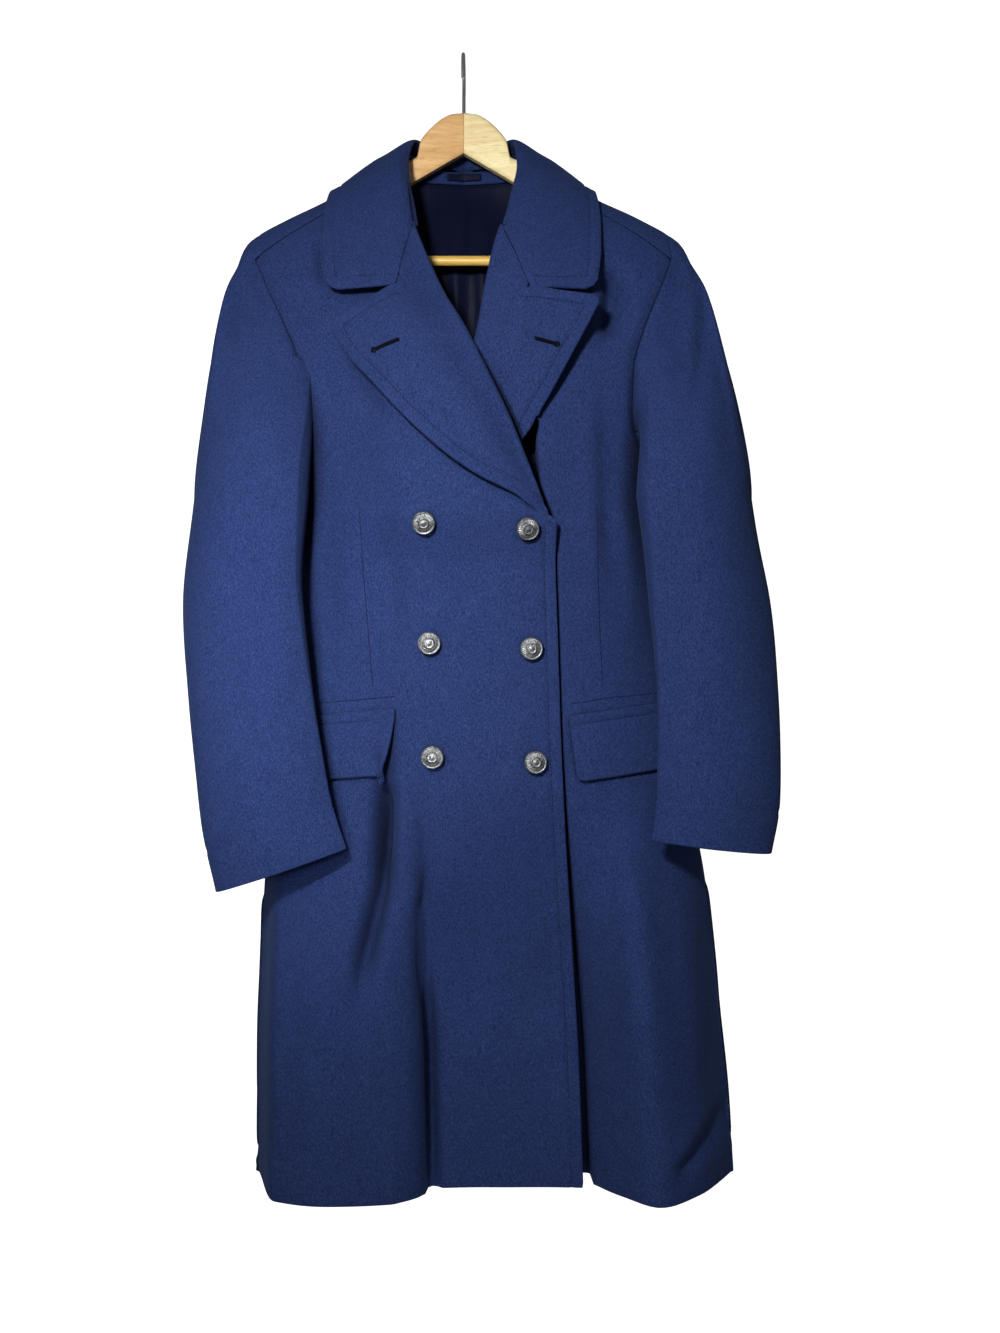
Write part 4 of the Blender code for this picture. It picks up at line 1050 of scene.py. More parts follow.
def add_cloth(name, outer, normals, thick, finish, extras=()):
    """One piece of cloth in place of the solid of the same name."""
    made = place_mesh(f"{name}_cloth", cloth_mesh(name, outer, normals, thick), finish)
    bind(made, name)
    width, length, area = flat_size(outer)
    turned_edges = 2 * thick
    width, length = width + turned_edges, max(length + turned_edges, NARROWEST_CUT)
    area = min(area + turned_edges * (width + length), width * length)
    for extra in extras:
        bind(extra)
    return Cloth(outer, outer - normals * thick, normals)


def grid_tree(*grids):
    """Search tree over the faces of some grids of points."""
    points, faces = [], []
    for grid in grids:
        faces += (grid_quads(*grid.shape[:2]) + len(points)).tolist()
        points += grid.reshape(-1, 3).tolist()
    return BVHTree.FromPolygons(points, faces)


def outward_tree(panels):
    """Tree over panels whose face normals point out of the coat."""
    return grid_tree(*(panel.outer if looks_out(panel.outer, panel.normals) else panel.outer[:, ::-1]
                       for panel in panels))


# Thread

def thread_points(start, end, radius, out):
    """Rings of points of a short thread with tapered ends."""
    along = unit(end - start)
    side = unit(np.cross(along, out))
    up = np.cross(side, along)
    turns = [2 * math.pi * number / THREAD_SIDES for number in range(THREAD_SIDES)]
    return [mix(start, end, share) + radius * thick * (side * math.cos(turn) + up * math.sin(turn))
            for share, thick in THREAD_TAPER for turn in turns]


def joined_threads(name, threads, finish):
    """One mesh of many short threads, each a start, end, radius and outward direction."""
    points, faces = [], []
    thread_faces = ring_faces(len(THREAD_TAPER), THREAD_SIDES)
    for thread in threads:
        faces += [tuple(len(points) + corner for corner in face) for face in thread_faces]
        points += thread_points(*thread)
    return place_mesh(name, mesh_from(name, [tuple(point) for point in points], faces), finish)


def chain(line, radius, out):
    """Threads from each point of a line to the next."""
    return [(one, two, radius, out) for one, two in zip(line, line[1:])]


def resampled(line, step):
    """Points at even steps along a line."""
    line = np.asarray(line)
    return places_along(line, np.arange(0, length_along(line)[-1], step))


def topstitched(name, outer, normals, edge, inside, toward, thread, inset=STITCH_INSET):
    """Grid with a groove that follows an edge, and the row of stitches that lies in it."""
    gap = np.full(outer.shape[:-1], np.inf)
    for spot in edge:
        gap = np.minimum(gap, np.linalg.norm(outer - spot, axis=-1))
    outer = moved(outer, normals, -GROOVE_DEPTH * bell(gap - inset, GROOVE_WIDTH))
    tree = grid_tree(outer)
    line = np.array([tree.find_nearest(Vector(spot + unit(inner - spot) * inset))[0]
                     for spot, inner in zip(edge, inside)])
    clear = np.array([np.linalg.norm(edge - spot, axis=1).min() for spot in line])
    spots = resampled(line[clear > INSET_KEPT * inset], STITCH_STEP)
    threads = [(one, mix(one, two, STITCH_SHARE), STITCH_RADIUS, toward)
               for one, two in zip(spots, spots[1:])]
    return outer, joined_threads(f"{name}_stitches", threads, thread)


# Fronts and backs

def gathered(shares, spots):
    """Rows of shares, each drawn together on both sides of its own spot."""
    return np.array([np.interp(shares, GATHER_SHARES, (0, spot - GATHER_BEFORE, spot + GATHER_AFTER, 1))
                     for spot in np.clip(spots, *GATHER_LIMITS)])


def front_grid(which):
    """Grid of x and z over a front, from its inner line out to the side seam and armhole."""
    z_low = np.linspace(HEM_Z, ARMPIT_Z, FRONT_LOW_ROWS)
    tau = np.linspace(0, 1, FRONT_HIGH_ROWS + 1)[1:]
    z_in = np.concatenate([z_low, mix(ARMPIT_Z, ROLL[-1].z, tau)])
    z_out = np.concatenate([z_low, read(ARMHOLE, "z", tau, "step")])
    x_in = inner_line(z_in, which)
    x_out = np.concatenate([half_width(z_low), read(ARMHOLE, "front_x", tau, "step")])
    x_out = OUTWARD[which] * x_out
    near = NEAR_EDGE[None] / np.abs(x_out - x_in)[:, None]
    turn_in = np.arcsin(np.clip(x_in / half_width(z_in), -1, 1))
    turn_out = np.arcsin(np.clip(x_out / half_width(z_out), -1, 1))
    rest = np.linspace(0, 1, FRONT_COLUMNS - len(NEAR_EDGE) + 1)[None, 1:]
    if which == "under":
        # The hollow's side is found by going back and forth between its height and its place in the row
        side = np.zeros(len(z_in))
        for _ in range(SIDE_ROUNDS):
            z_side = mix(z_in, z_out, side)
            turn_side = np.arcsin(hollow_side(z_side) / half_width(z_side))
            side = (turn_side - turn_in) / (turn_out - turn_in)
        rest = gathered(rest[0], (side - near[:, -1]) / (1 - near[:, -1]))
    s = np.concatenate([near, mix(near[:, -1:], 1, rest)], 1)
    turn = mix(turn_in[:, None], turn_out[:, None], s)
    z = mix(z_in[:, None], z_out[:, None], s)
    x = half_width(z) * np.sin(turn)
    x_top = mix(x_in[-1], x_out[-1], s[-1])
    z_top = ridge_z(x_top) - seam_drop(x_top)
    share = np.concatenate([np.zeros(FRONT_LOW_ROWS), tau ** 2])[:, None]
    return x + share * (x_top - x[-1]), z + share * (z_top - z[-1])


def build_front(name, which, layer, finish, thread):
    x, z = front_grid(which)
    outer = torso(x, z, -1)
    normals = surface_normals(outer, AHEAD)
    high = FRONT_LOW_ROWS
    normals[high:, -1] = front_normal(x[high:, -1], z[high:, -1])
    normals[:high, -1] = (OUTWARD[which], 0, 0)
    normals[-1] = front_normal(x[-1], z[-1])
    outer = wrinkled(moved(outer, normals, layer(x, z)), normals)
    if which == "under":
        outer[..., 1] += hollow_depth(x, z)
    across = lengths(outer, 1)
    dip = ARMHOLE_DIP * bell(across[:, -1:] - across, ARMHOLE_DIP_WIDTH)
    dip *= ease((np.arange(len(outer)) - high) / ARMHOLE_DIP_ROWS)[:, None]
    outer = moved(outer, normals, -dip)
    pull_in(outer, "last_column", "last_row")
    normals = surface_normals(outer, AHEAD)
    normals[:high, -1] = (OUTWARD[which], 0, 0)
    edge_rows = outer[:int(np.searchsorted(z[:, 0], BREAK_Z[which]))]
    outer, stitches = topstitched(name, outer, normals, edge_rows[:, 0], edge_rows[:, STITCH_TOWARD],
                                  AHEAD, thread)
    return add_cloth(name, outer, normals, CLOTH, finish, extras=[stitches])


def back_top():
    """Columns along the back's top edge: x, and the turn over the shoulder in radians."""
    x = np.interp(np.linspace(0, 1, BACK_COLUMNS), [0, NECK_COLUMNS, 1], [0, NECK_X, TIP_X])
    turn = np.radians(read(NECKLINE, "turn", x, "x"))
    return x, np.where(x < NECK_X, turn, -np.arccos(1 - seam_drop(x) / ROUND))


def back_grid(outward):
    """Grid of x, z and side over a back, from centre seam to side seam and over the shoulder."""
    x_top, turn_end = back_top()
    s = np.linspace(0, 1, BACK_COLUMNS)
    z_low = np.linspace(HEM_Z, ARMPIT_Z, FRONT_LOW_ROWS)
    tau = np.linspace(0, 1, FRONT_HIGH_ROWS + 1)[1:]
    x_low = half_width(z_low)[:, None] * np.sin(s * math.pi / 2)[None]
    crest = CREST_SHARE * ROUND
    x_mid = mix(x_low[-1][None], x_top[None], ease(tau)[:, None])
    edge = read(ARMHOLE, "back_x", tau * BACK_ARMHOLE_SHARE, "step")[:, None]
    x_mid = x_mid * mix(1, edge / x_mid[:, -1:], s[None])
    z_edge = read(ARMHOLE, "z", tau * BACK_ARMHOLE_SHARE, "step")
    z_edge = np.minimum(z_edge, ridge_z(x_mid[:, -1]) - crest)
    z_mid = mix(ARMPIT_Z, (ridge_z(x_mid[-1]) - crest)[None], tau[:, None])
    z_mid = z_mid + (z_edge - z_mid[:, -1])[:, None] * s[None] ** 3
    over = np.linspace(0, 1, BACK_RIDGE_ROWS + 1)[1:, None]
    turn = mix(math.acos(1 - CREST_SHARE), turn_end[None], over)
    x_over = mix(x_mid[-1][None], x_top[None], over)
    z_over = ridge_z(x_over) - ROUND * (1 - np.cos(turn))
    x = np.concatenate([x_low, x_mid, x_over]) * outward
    z = np.concatenate([np.repeat(z_low[:, None], BACK_COLUMNS, 1), z_mid, z_over])
    flat_rows = FRONT_LOW_ROWS + FRONT_HIGH_ROWS
    side = np.concatenate([np.ones((flat_rows, BACK_COLUMNS)), np.where(turn >= 0, 1.0, -1.0)])
    return x, z, side


def build_back(name, outward, finish):
    x, z, side = back_grid(outward)
    outer = torso(x, z, side)
    low, high = FRONT_LOW_ROWS, FRONT_LOW_ROWS + FRONT_HIGH_ROWS
    shoulder = np.abs(x[-1]) >= NECK_X

    def back_normals(points):
        normals = surface_normals(points, -AHEAD)
        normals[:, 0, 0] = 0
        normals[:low, -1] = (outward, 0, 0)
        normals[-1, shoulder] = front_normal(x[-1, shoulder], z[-1, shoulder])
        return normals

    normals = back_normals(outer)
    normals[low:high, -1] = body_normal(x[low:high, -1], z[low:high, -1], 1)
    outer = wrinkled(outer, unit(normals))
    pull_in(outer, "first_column", "last_column", "last_row")
    return add_cloth(name, outer, unit(back_normals(outer)), CLOTH, finish)


# Sleeves

def armhole_edge(panel):
    start = FRONT_LOW_ROWS - 1
    return panel.outer[start:, -1], panel.normals[start:, -1]


def ring_at(rows, share, angle):
    """Points of a sleeve ring; share runs from the first row of the table to the last."""
    spot = np.linspace(0, 1, len(rows))

    def value(name):
        return smooth_curve(spot, [getattr(row, name) for row in rows], share)

    outward = math.copysign(1, rows[0].x)
    turn = math.radians(value("turn"))
    tilt = math.tan(math.radians(value("tilt")))
    long_way = np.array([-outward * math.cos(turn), -math.sin(turn)])
    short_way = np.array([outward * math.sin(turn), -math.cos(turn)])
    pinch = np.where(np.cos(angle) > 0, mix(1.0, SLEEVE_PINCH, ease(np.sin(angle) * 2)), 1.0)
    through = np.sign(np.cos(angle)) * np.abs(np.cos(angle)) ** pinch
    flat = value("long") * np.sin(angle)[:, None] * long_way
    flat = flat + value("short") * through[:, None] * short_way
    flat[:, 0] += SLEEVE_NUDGE[int(outward)]
    z = value("z") - tilt * outward * flat[:, 0]
    return np.stack([value("x") + flat[:, 0] + drift(value("z")), value("y") + flat[:, 1], z], -1)


def sleeve_tube(rows, loop, lay):
    """Rings from the armhole's loop down to the cuff, and the direction out of the first ring."""
    outward = math.copysign(1, rows[0].x)
    length = length_along(loop)
    pit = length[np.argmin(loop[:, 2])]
    turns = [SLEEVE_TWIST, 1, 2 + SLEEVE_TWIST]
    angle = math.pi * np.interp(length, [0, pit, length[-1]], turns)
    tangent = np.gradient(np.concatenate([loop[-2:-1], loop, loop[1:2]]), axis=0)[1:-1]
    away = unit(-outward * np.cross(tangent, lay))
    fall = (loop[0, 2] - loop[:, 2]) / (loop[0, 2] - loop[:, 2].min())
    steep = (math.radians(ARMPIT_STEEP) * ease(fall))[:, None]
    leave = np.cos(steep) * away + np.sin(steep) * lay
    facing = np.cos(steep) * lay - np.sin(steep) * away
    start = loop + away * SEAM_PULL
    bicep = ring_at(rows, 0.0, angle)
    reach = np.linalg.norm(bicep - start, axis=1)[:, None]
    head = np.linspace(0, 1, SLEEVE_HEAD_ROWS + 1)[:-1] ** HEAD_POWER
    hang = -SLEEVE_HANG * UP
    rings = [hermite(t, start, bicep, SLEEVE_LEAVE * leave, hang, reach) for t in head]
    rings += [ring_at(rows, t, angle) for t in np.linspace(0, 1, SLEEVE_ROWS)]
    return np.stack(rings), facing


def spread_out(band, shares):
    """Rows of points, each set at more even distances along its own line."""
    for row, share in zip(band, shares):
        even = np.linspace(0, length_along(row)[-1], len(row))
        row[:] = mix(row, places_along(row, even), share)
    return band


def soften_tip(tube):
    """Even out and fill the ridge below the shoulder's tip, where both sides of the armhole meet."""
    rows = np.arange(len(tube))
    offsets = np.arange(-TIP_REACH, TIP_REACH + 1)
    aside = np.abs(offsets)
    around = tube.shape[1] - 1
    columns = offsets % around
    before, after = (offsets - 1) % around, (offsets + 1) % around
    down = rises(rows, TIP_KEPT) * falls(rows, Step(SLEEVE_HEAD_ROWS + TIP_ROWS, TIP_ROWS))
    share = 0.5 * down[:, None] * ease(1 - aside / TIP_SOFT)[None]
    along = 0.5 * ease(1 - np.abs(rows - SLEEVE_HEAD_ROWS) / TIP_ROWS)[:, None]
    along = (along * ease(2 - 2 * aside / TIP_REACH)[None])[1:-1, :, None]
    for _ in range(TIP_PASSES):
        beside = (tube[:, before] + tube[:, after]) / 2
        band = mix(tube[:, columns], beside, share[..., None])
        tube[:, columns] = spread_out(smooth_line(band, TIP_RUNS, along), down)
    full = TIP_FULL * rises(rows, TIP_FULL_STARTS) * falls(rows, Step(TIP_FULL_ROWS, TIP_FULL_ROWS))
    full = full[:, None] * ease(TIP_FULL_SIDE - TIP_FULL_SIDE * aside / TIP_REACH)[None]
    way = unit(np.array([math.copysign(1, tube[0, 0, 0]), 0, TIP_FULL_UP]))
    tube[:, columns] += full[..., None] * way
    tube[:, -1] = tube[:, 0]
    return tube


def tube_normals(points):
    """Normals of a closed tube of points, on its outside."""
    wrap = np.concatenate([points[:, -2:-1], points, points[:, 1:2]], axis=1)
    return surface_normals(wrap, wrap - points.mean(axis=1, keepdims=True))[:, 1:-1]


def build_sleeve(label, rows, front, back, finish):
    """Two half tubes, the top sleeve and the under sleeve, that start on the armhole's own points."""
    front_points, front_normals = armhole_edge(front)
    back_points, back_normals = armhole_edge(back)
    armpit = (front_points[0] + back_points[0]) / 2
    tip = (front_points[-1] + back_points[-1]) / 2
    loop = np.concatenate([[tip], front_points[-2:0:-1], [armpit], back_points[1:-1], [tip]])
    lay = np.concatenate([front_normals[::-1], back_normals[1:]])
    tube, facing = sleeve_tube(rows, smooth_line(loop, LOOP_PASSES), unit(smooth_line(lay, LAY_PASSES)))
    tube = soften_tip(tube)
    normals = tube_normals(tube)
    fade = ease(np.arange(len(tube)) / WRINKLE_ROWS)[:, None, None]
    tube = mix(tube, wrinkled(tube, normals), fade)
    near = lengths(tube, 0) / ROPE_AT
    full = rises(loop[:, 2], ROPE_STARTS) * (1 - ROPE_REST * rises(loop[:, 2] - tip[2], ROPE_RESTS))
    tube = moved(tube, normals, ROPE_HEIGHT * near * np.exp(1 - near) * full[None])
    gap = lengths(tube, 0)[-1][None] - lengths(tube, 0)
    tube = moved(tube, tube_normals(tube), -CUFF_DIP * bell(gap - CUFF_HEM, CUFF_DIP_WIDTH))
    normals = tube_normals(tube)
    normals[0] = facing
    front_seam = round(FRONT_HIGH_ROWS * FRONT_SEAM_SHARE)
    back_seam = FRONT_HIGH_ROWS + round(FRONT_HIGH_ROWS * BACK_SEAM_SHARE)
    over_tip = np.concatenate([np.arange(back_seam, len(loop) - 1), np.arange(0, front_seam + 1)])
    halves = {"top": over_tip, "under": np.arange(front_seam, back_seam + 1)}
    for half, columns in halves.items():
        outer = tube[:, columns].copy()
        pull_in(outer, "first_column", "last_column")
        add_cloth(f"sleeve_{label}_{half}", outer, normals[:, columns], CLOTH, finish)


# Lapels

Lapel = namedtuple("Lapel", "outer gorge")


def draw_back(points, notch):
    """Draw a grid's first rows back from the gorge seam, the first row most."""
    way = unit(points[GORGE_PULL_ROWS, :notch + 1] - points[0, :notch + 1])
    for row in range(GORGE_PULL_ROWS):
        points[row, :notch + 1] += way * GORGE_PULL * (1 - row / GORGE_PULL_ROWS)


def lapel_outline(which):
    """x and z over a lapel, from roll line to edge; its first row follows gorge, notch and corner."""
    edge = LAPEL_EDGE[which]
    t = np.linspace(0, 1, LAPEL_ROWS)
    w = np.linspace(0, 1, LAPEL_COLUMNS)
    roll_z = mix(GORGE_Z, edge[-1].z - LAPEL_FOOT, t)
    roll_x = read(ROLL, which, roll_z, "z")
    spot = np.linspace(0, 1, len(edge))
    edge_x = smooth_curve(spot, [point.x for point in edge], t)
    edge_z = smooth_curve(spot, [point.z for point in edge], t)
    x = mix(roll_x[:, None], edge_x[:, None], w[None])
    z = mix(roll_z[:, None], edge_z[:, None], w[None])
    corners = [0, w[np.argmin(np.abs(w - NOTCH_SHARE))], 1]
    top_x = np.interp(w, corners, [roll_x[0], OUTWARD[which] * NOTCH_X, edge_x[0]])
    top_z = np.interp(w, corners, [roll_z[0], NOTCH_Z - NOTCH_GAP, edge_z[0]])
    fade = ease(1 - t / LAPEL_TOP_FADE)[:, None]
    return x + fade * (top_x - x[0]), z + fade * (top_z - z[0])


def lapel_sink(x, z):
    """How far the left lapel falls straight back beside the right lapel's roll."""
    beside = x - read(ROLL, "top", z, "z") - SINK_BESIDE * falls(z, SINK_DRAWS)
    wall = 1 - ease(beside / SINK_WALL + 0.5)
    return SINK_DEPTH * wall * rises(beside, Step(-SINK_WIDTH, SLOT_EASE)) * falls(z, HOLLOW_TOP)


def build_lapel(name, which, front, layer, finish, thread):
    """Turned lapel: the roll round the front's edge, and the leaf lying on the front."""
    tree = grid_tree(front.outer)
    x, z = lapel_outline(which)
    t = np.linspace(0, 1, LAPEL_ROWS)
    share = np.linspace(0, 1, LAPEL_COLUMNS)[None]
    away = unit(np.stack([x[:, 1] - x[:, 0], z[:, 1] - z[:, 0]], -1))
    thin = 1 - rises(t, ROLL_THINS)
    radius = mix(ROLL_LEAST, ROLL_RADIUS, thin)
    base, out = smooth_front(x[:, 0] + away[:, 0] * radius, z[:, 0] + away[:, 1] * radius, layer)
    inward = unit(base - smooth_front(x[:, 0], z[:, 0], layer)[0])
    turn = np.radians(ROLL_TURNS)[None, :, None]
    spokes = out[:, None] * np.sin(turn) - inward[:, None] * np.cos(turn)
    tail = LAPEL_TAIL * rises(t, TAIL_SINKS)
    roll = base[:, None] + spokes * radius[:, None, None] - (out * tail[:, None])[:, None]
    shift = radius[:, None] * (1 - share)
    smooth, leaf_out = smooth_front(x + away[:, :1] * shift, z + away[:, 1:] * shift, layer)
    lift = mix(1.0, HIDDEN_LIFT if which == "under" else 1.0, rises(t, HIDDEN_FROM)) * thin
    rise = (radius - tail)[:, None] + LAPEL_LIFT * lift[:, None] * ease(share * 2)
    rise = rise + CORNER_CURL * bell(t, CURL_REACH)[:, None] * ease(share * 2 - 1)
    leaf = np.empty_like(smooth)
    for spot in np.ndindex(smooth.shape[:2]):
        way = Vector(leaf_out[spot])
        hit = tree.ray_cast(Vector(smooth[spot]) + way * RAY_START, -way)[0]
        height = 0.0 if hit is None else max(way.dot(hit - Vector(smooth[spot])), -LAPEL_SAG)
        leaf[spot] = smooth[spot] + leaf_out[spot] * (height + rise[spot])
    outer = smoothed(np.concatenate([roll, smoothed(leaf, LEAF_PASSES)], 1), LAPEL_PASSES)
    if which == "under":
        sink = lapel_sink(x, z)
        outer[:, len(ROLL_TURNS):, 1] += sink
        outer[:, :len(ROLL_TURNS), 1] += sink[:, :1]
    notch = len(ROLL_TURNS) + round(NOTCH_SHARE * (LAPEL_COLUMNS - 1))
    gorge = outer[0, :notch + 1].copy()
    draw_back(outer, notch)
    outer = round_corner(outer, False, True, LAPEL_CORNER)
    normals = surface_normals(outer, AHEAD)
    edge_rows = outer[1:-LAPEL_EDGE_END]
    edge = np.concatenate([outer[0, notch:], edge_rows[:, -1]])
    inside = np.concatenate([outer[STITCH_TOWARD, notch:], edge_rows[:, -STITCH_TOWARD]])
    outer = moved(outer, normals, FOLDED_WAVES * waves(outer, "lapel"))
    outer, stitches = topstitched(name, outer, normals, edge, inside, AHEAD, thread)
    panel = add_cloth(name, outer, surface_normals(outer, AHEAD), FOLDED, finish,
                      [stitches])
    return Lapel(panel.outer, gorge)


# Collar

def collar_point(which, step):
    """Seam, fold or edge of the collar; step runs from -1 at the right gorge to +1 at the left one."""
    x, y, z = [float(read(COLLAR, f"{which}_{axis}", abs(step), "step")) for axis in "xyz"]
    return np.array([math.copysign(1, step) * x, y, z])


def lifted(tree, point, clear, loose=False):
    """The point, moved out to lie that far outside the tree's faces, or just that far off them."""
    place, out, _, distance = tree.find_nearest(Vector(point))
    if (Vector(point) - place).dot(out) >= clear or (loose and distance >= clear):
        return point
    return np.array(place + out * clear)


def collar_row(tree, step):
    """Points across the collar at one step: its stand from the seam, then its fall to the edge."""
    seam, fold, edge = [collar_point(which, step) for which in ("seam", "fold", "edge")]
    out = unit((edge - fold) * (1, 1, 0))
    knots = [mix(seam, fold, at.fold) + out * COLLAR_ROLL * at.out + UP * at.up for at in COLLAR_STAND]
    shares = [at.share for at in COLLAR_STAND]
    row = []
    for share in np.linspace(0, 1, STAND_POINTS):
        place = np.array([smooth_curve(shares, values, share) for values in zip(*knots)])
        clear = FOLDED + mix(STAND_CLEAR, COLLAR_CLEAR, rises(share, STAND_CLEARS))
        row.append(lifted(tree, place, clear, share < STAND_LOOSE))
    start = knots[-1]
    end_share = float(rises(abs(step), COLLAR_ENDS))
    raised = COLLAR_LIFT * float(rises(abs(step), COLLAR_LIFTS))
    straight = mix(start, edge, NOTCH_SHARE)
    notch_x = math.copysign(NOTCH_X, step) + float(drift(NOTCH_Z))
    shift = np.array([notch_x - straight[0], 0, NOTCH_Z - straight[2]])
    for share in np.linspace(0, 1, FALL_POINTS + 1)[1:]:
        weight = np.interp(share, [0, NOTCH_SHARE, 1], [0, 1, 0])
        place = mix(start, edge, share) + shift * weight * end_share
        place = place + out * COLLAR_BULGE * math.sin(math.pi * share) * (1 - end_share)
        row.append(lifted(tree, place, FOLDED + COLLAR_CLEAR + raised * share ** 2))
    return row


def meet_gorge(outer, gorge, first, notch):
    """Draw the collar's first rows onto a lapel's gorge line."""
    end = outer[0, first:notch + 1]
    here = length_along(end)
    place = here / here[-1] * length_along(gorge)[-1]
    move = np.zeros_like(outer[0])
    move[first:notch + 1] = places_along(gorge, place) - end
    move[:first] = move[first] * ease(np.linspace(0, 1, first))[:, None]
    rest = len(move) - notch - 1
    move[notch + 1:] = move[notch] * ease(np.linspace(1, GORGE_REST, rest))[:, None]
    for row in range(GORGE_ROWS):
        outer[row] += move * ease(1 - row / GORGE_ROWS)


def even_fold(outer):
    """Even out the collar's fold along the back of the neck."""
    steps = np.abs(np.linspace(-1, 1, len(outer)))
    columns = np.arange(outer.shape[1])
    across = rises(columns, FOLD_FIRST) * falls(columns, FOLD_LAST)
    share = 0.5 * falls(steps, FOLD_ENDS)[:, None] * across[None]
    return smooth_line(outer, FOLD_PASSES, share[1:-1, :, None])


def collar_normals(grid):
    """Normals of the collar, on the side that looks up along its edge."""
    found = grid_normals(grid)
    return found if np.sum(found[:, -1] * UP) > 0 else -found


def build_collar(panels, lapels, finish, thread):
    tree = outward_tree(panels)
    rows = [collar_row(tree, step) for step in np.linspace(-1, 1, COLLAR_STATIONS)]
    outer = even_fold(smoothed(np.array(rows), COLLAR_PASSES))
    notch = STAND_POINTS + round(NOTCH_SHARE * FALL_POINTS)
    for end, lapel in ((outer, lapels["lapel_right"]), (outer[::-1], lapels["lapel_left"])):
        meet_gorge(end, lapel.gorge, STAND_FIXED, notch)
        draw_back(end, notch)
    outer = smoothed(outer, COLLAR_LAST_PASSES)
    outer[:, -1] = smooth_line(outer[:, -1].copy(), COLLAR_EDGE_PASSES)
    for last_row in (False, True):
        outer = round_corner(outer, last_row, True, COLLAR_CORNER)
    normals = collar_normals(outer)
    edge = np.concatenate([outer[0, notch:], outer[1:-1, -1], outer[-1, notch:][::-1]])
    inside = np.concatenate([outer[COLLAR_STITCH_ROW, notch:], outer[1:-1, -STITCH_TOWARD],
                             outer[-1 - COLLAR_STITCH_ROW, notch:][::-1]])
    outer = moved(outer, normals, FOLDED_WAVES * waves(outer, "collar"))
    outer, stitches = topstitched("collar", outer, normals, edge, inside, UP, thread)
    add_cloth("collar", outer, collar_normals(outer), FOLDED, finish,
              [stitches])


# Inside the back neck

def build_inside(backs, wool, satin):
    tree = grid_tree(*(panel.inner for panel in backs))

    def lay(name, x, z, clear, thick, finish, slot, fold=0.0):
        face = np.empty((*x.shape, 3))
        for spot in np.ndindex(x.shape):
            start = Vector((x[spot] + float(drift(z[spot])), 0.0, z[spot]))
            hit = tree.ray_cast(start, Vector(-AHEAD))[0]
            face[spot] = hit or tree.find_nearest(start - INSIDE_REACH * Vector(AHEAD))[0]
        out = -surface_normals(smoothed(face, INSIDE_FACING_PASSES), -AHEAD)
        stand = np.broadcast_to(clear + thick + fold, x.shape)
        outer = moved(smoothed(face, INSIDE_PASSES), out, stand)
        add_cloth(name, outer, surface_normals(outer, AHEAD), thick, finish)

    x, z = np.meshgrid(np.linspace(-FACING_HALF, FACING_HALF, FACING_COLUMNS),
                       np.linspace(FACING_LOW_Z, FACING_TOP_Z, FACING_ROWS))
    lay("neck_facing", x, z, FACING_SEAT, FOLDED, wool, "wool")
    x, z = np.meshgrid(np.linspace(-LOOP_HALF, LOOP_HALF, LOOP_COLUMNS),
                       np.linspace(LOOP_LOW_Z, LOOP_TOP_Z, LOOP_ROWS))
    lay("loop", x, z, LOOP_SEAT, LOOP_THICK, satin, "satin")
    share, z = np.meshgrid(np.linspace(-1, 1, LINING_COLUMNS),
                           np.linspace(LINING_LOW_Z, FACING_LOW_Z - LINING_TOP_GAP, LINING_ROWS))
    x = read(LINING, "half", z, "z") * share
    fold = sum(fold.height * bell(x - fold.place - fold.lean * (z - FACING_LOW_Z), fold.width)
               for fold in LINING_FOLDS)
    lay("lining_back", x, z, LINING_SEAT, SATIN, satin, "satin", fold * falls(z, LINING_FOLDS_START))


# Flaps, buttons, seams and buttonholes

def front_hit(tree, x, z):
    """Point that is seen straight from the front at a place, and the direction out of its face."""
    place, out, _, _ = tree.ray_cast(Vector((x, FRONT_RAY_Y, z)), Vector(-AHEAD))
    return np.array(place), np.array(out if out.y < 0 else -out)


def seat_on(tree, x, z):
    """Point of a front at the coat's own x and z, and the direction out of it."""
    return front_hit(tree, x + float(drift(z)), z)


def build_flap(flap, front, finish, thread):
    tree = grid_tree(front.outer)
    face = np.empty((FLAP_ROWS, FLAP_COLUMNS, 3))
    down = np.linspace(0, 1, FLAP_ROWS)[:, None]
    along = np.linspace(0, 1, FLAP_COLUMNS)[None]
    x = mix(flap.inner, flap.outer, along) + math.copysign(flap.lean, flap.inner) * down
    z = mix(flap.inner_z, flap.outer_z, along) - flap.depth * down
    for spot in np.ndindex(x.shape):
        face[spot] = seat_on(tree, x[spot], z[spot])[0]
    face = smoothed(face, FLAP_PASSES)
    curl = flap.curl * ease(down * FLAP_CURL_DOWN) * bell(along, FLAP_CURL_REACH)
    outer = moved(face, surface_normals(face, AHEAD), FLAP_SEAT + FOLDED + FLAP_LIFT * down + curl)
    for last_column in (False, True):
        outer = round_corner(outer, True, last_column, FLAP_CORNER)
    normals = surface_normals(outer, AHEAD)
    outer, stitches = topstitched(flap.name, outer, normals, outer[0], outer[FLAP_ROWS // 2], AHEAD,
                                  thread, FLAP_INSET)
    add_cloth(flap.name, outer, surface_normals(outer, AHEAD), FOLDED, finish,
              [stitches])


def button_height(share, turn):
    """Height of a button's face: a dome with a bead, a ring, a boss and a band of short flutes."""
    dome = DOME_HEIGHT * np.sqrt(np.clip(1 - (DOME_FLATNESS * share) ** 2, 0, 1))
    relief = sum(ring.height * bell(share - ring.share, ring.width) for ring in BUTTON_RELIEF)
    band = rises(share, FLUTE_FIRST) * falls(share, FLUTE_LAST)
    flutes = FLUTE_DEPTH * band * (0.5 + 0.5 * np.cos(FLUTE_COUNT * turn))
    return BUTTON_RIM_HEIGHT + dome + relief - flutes


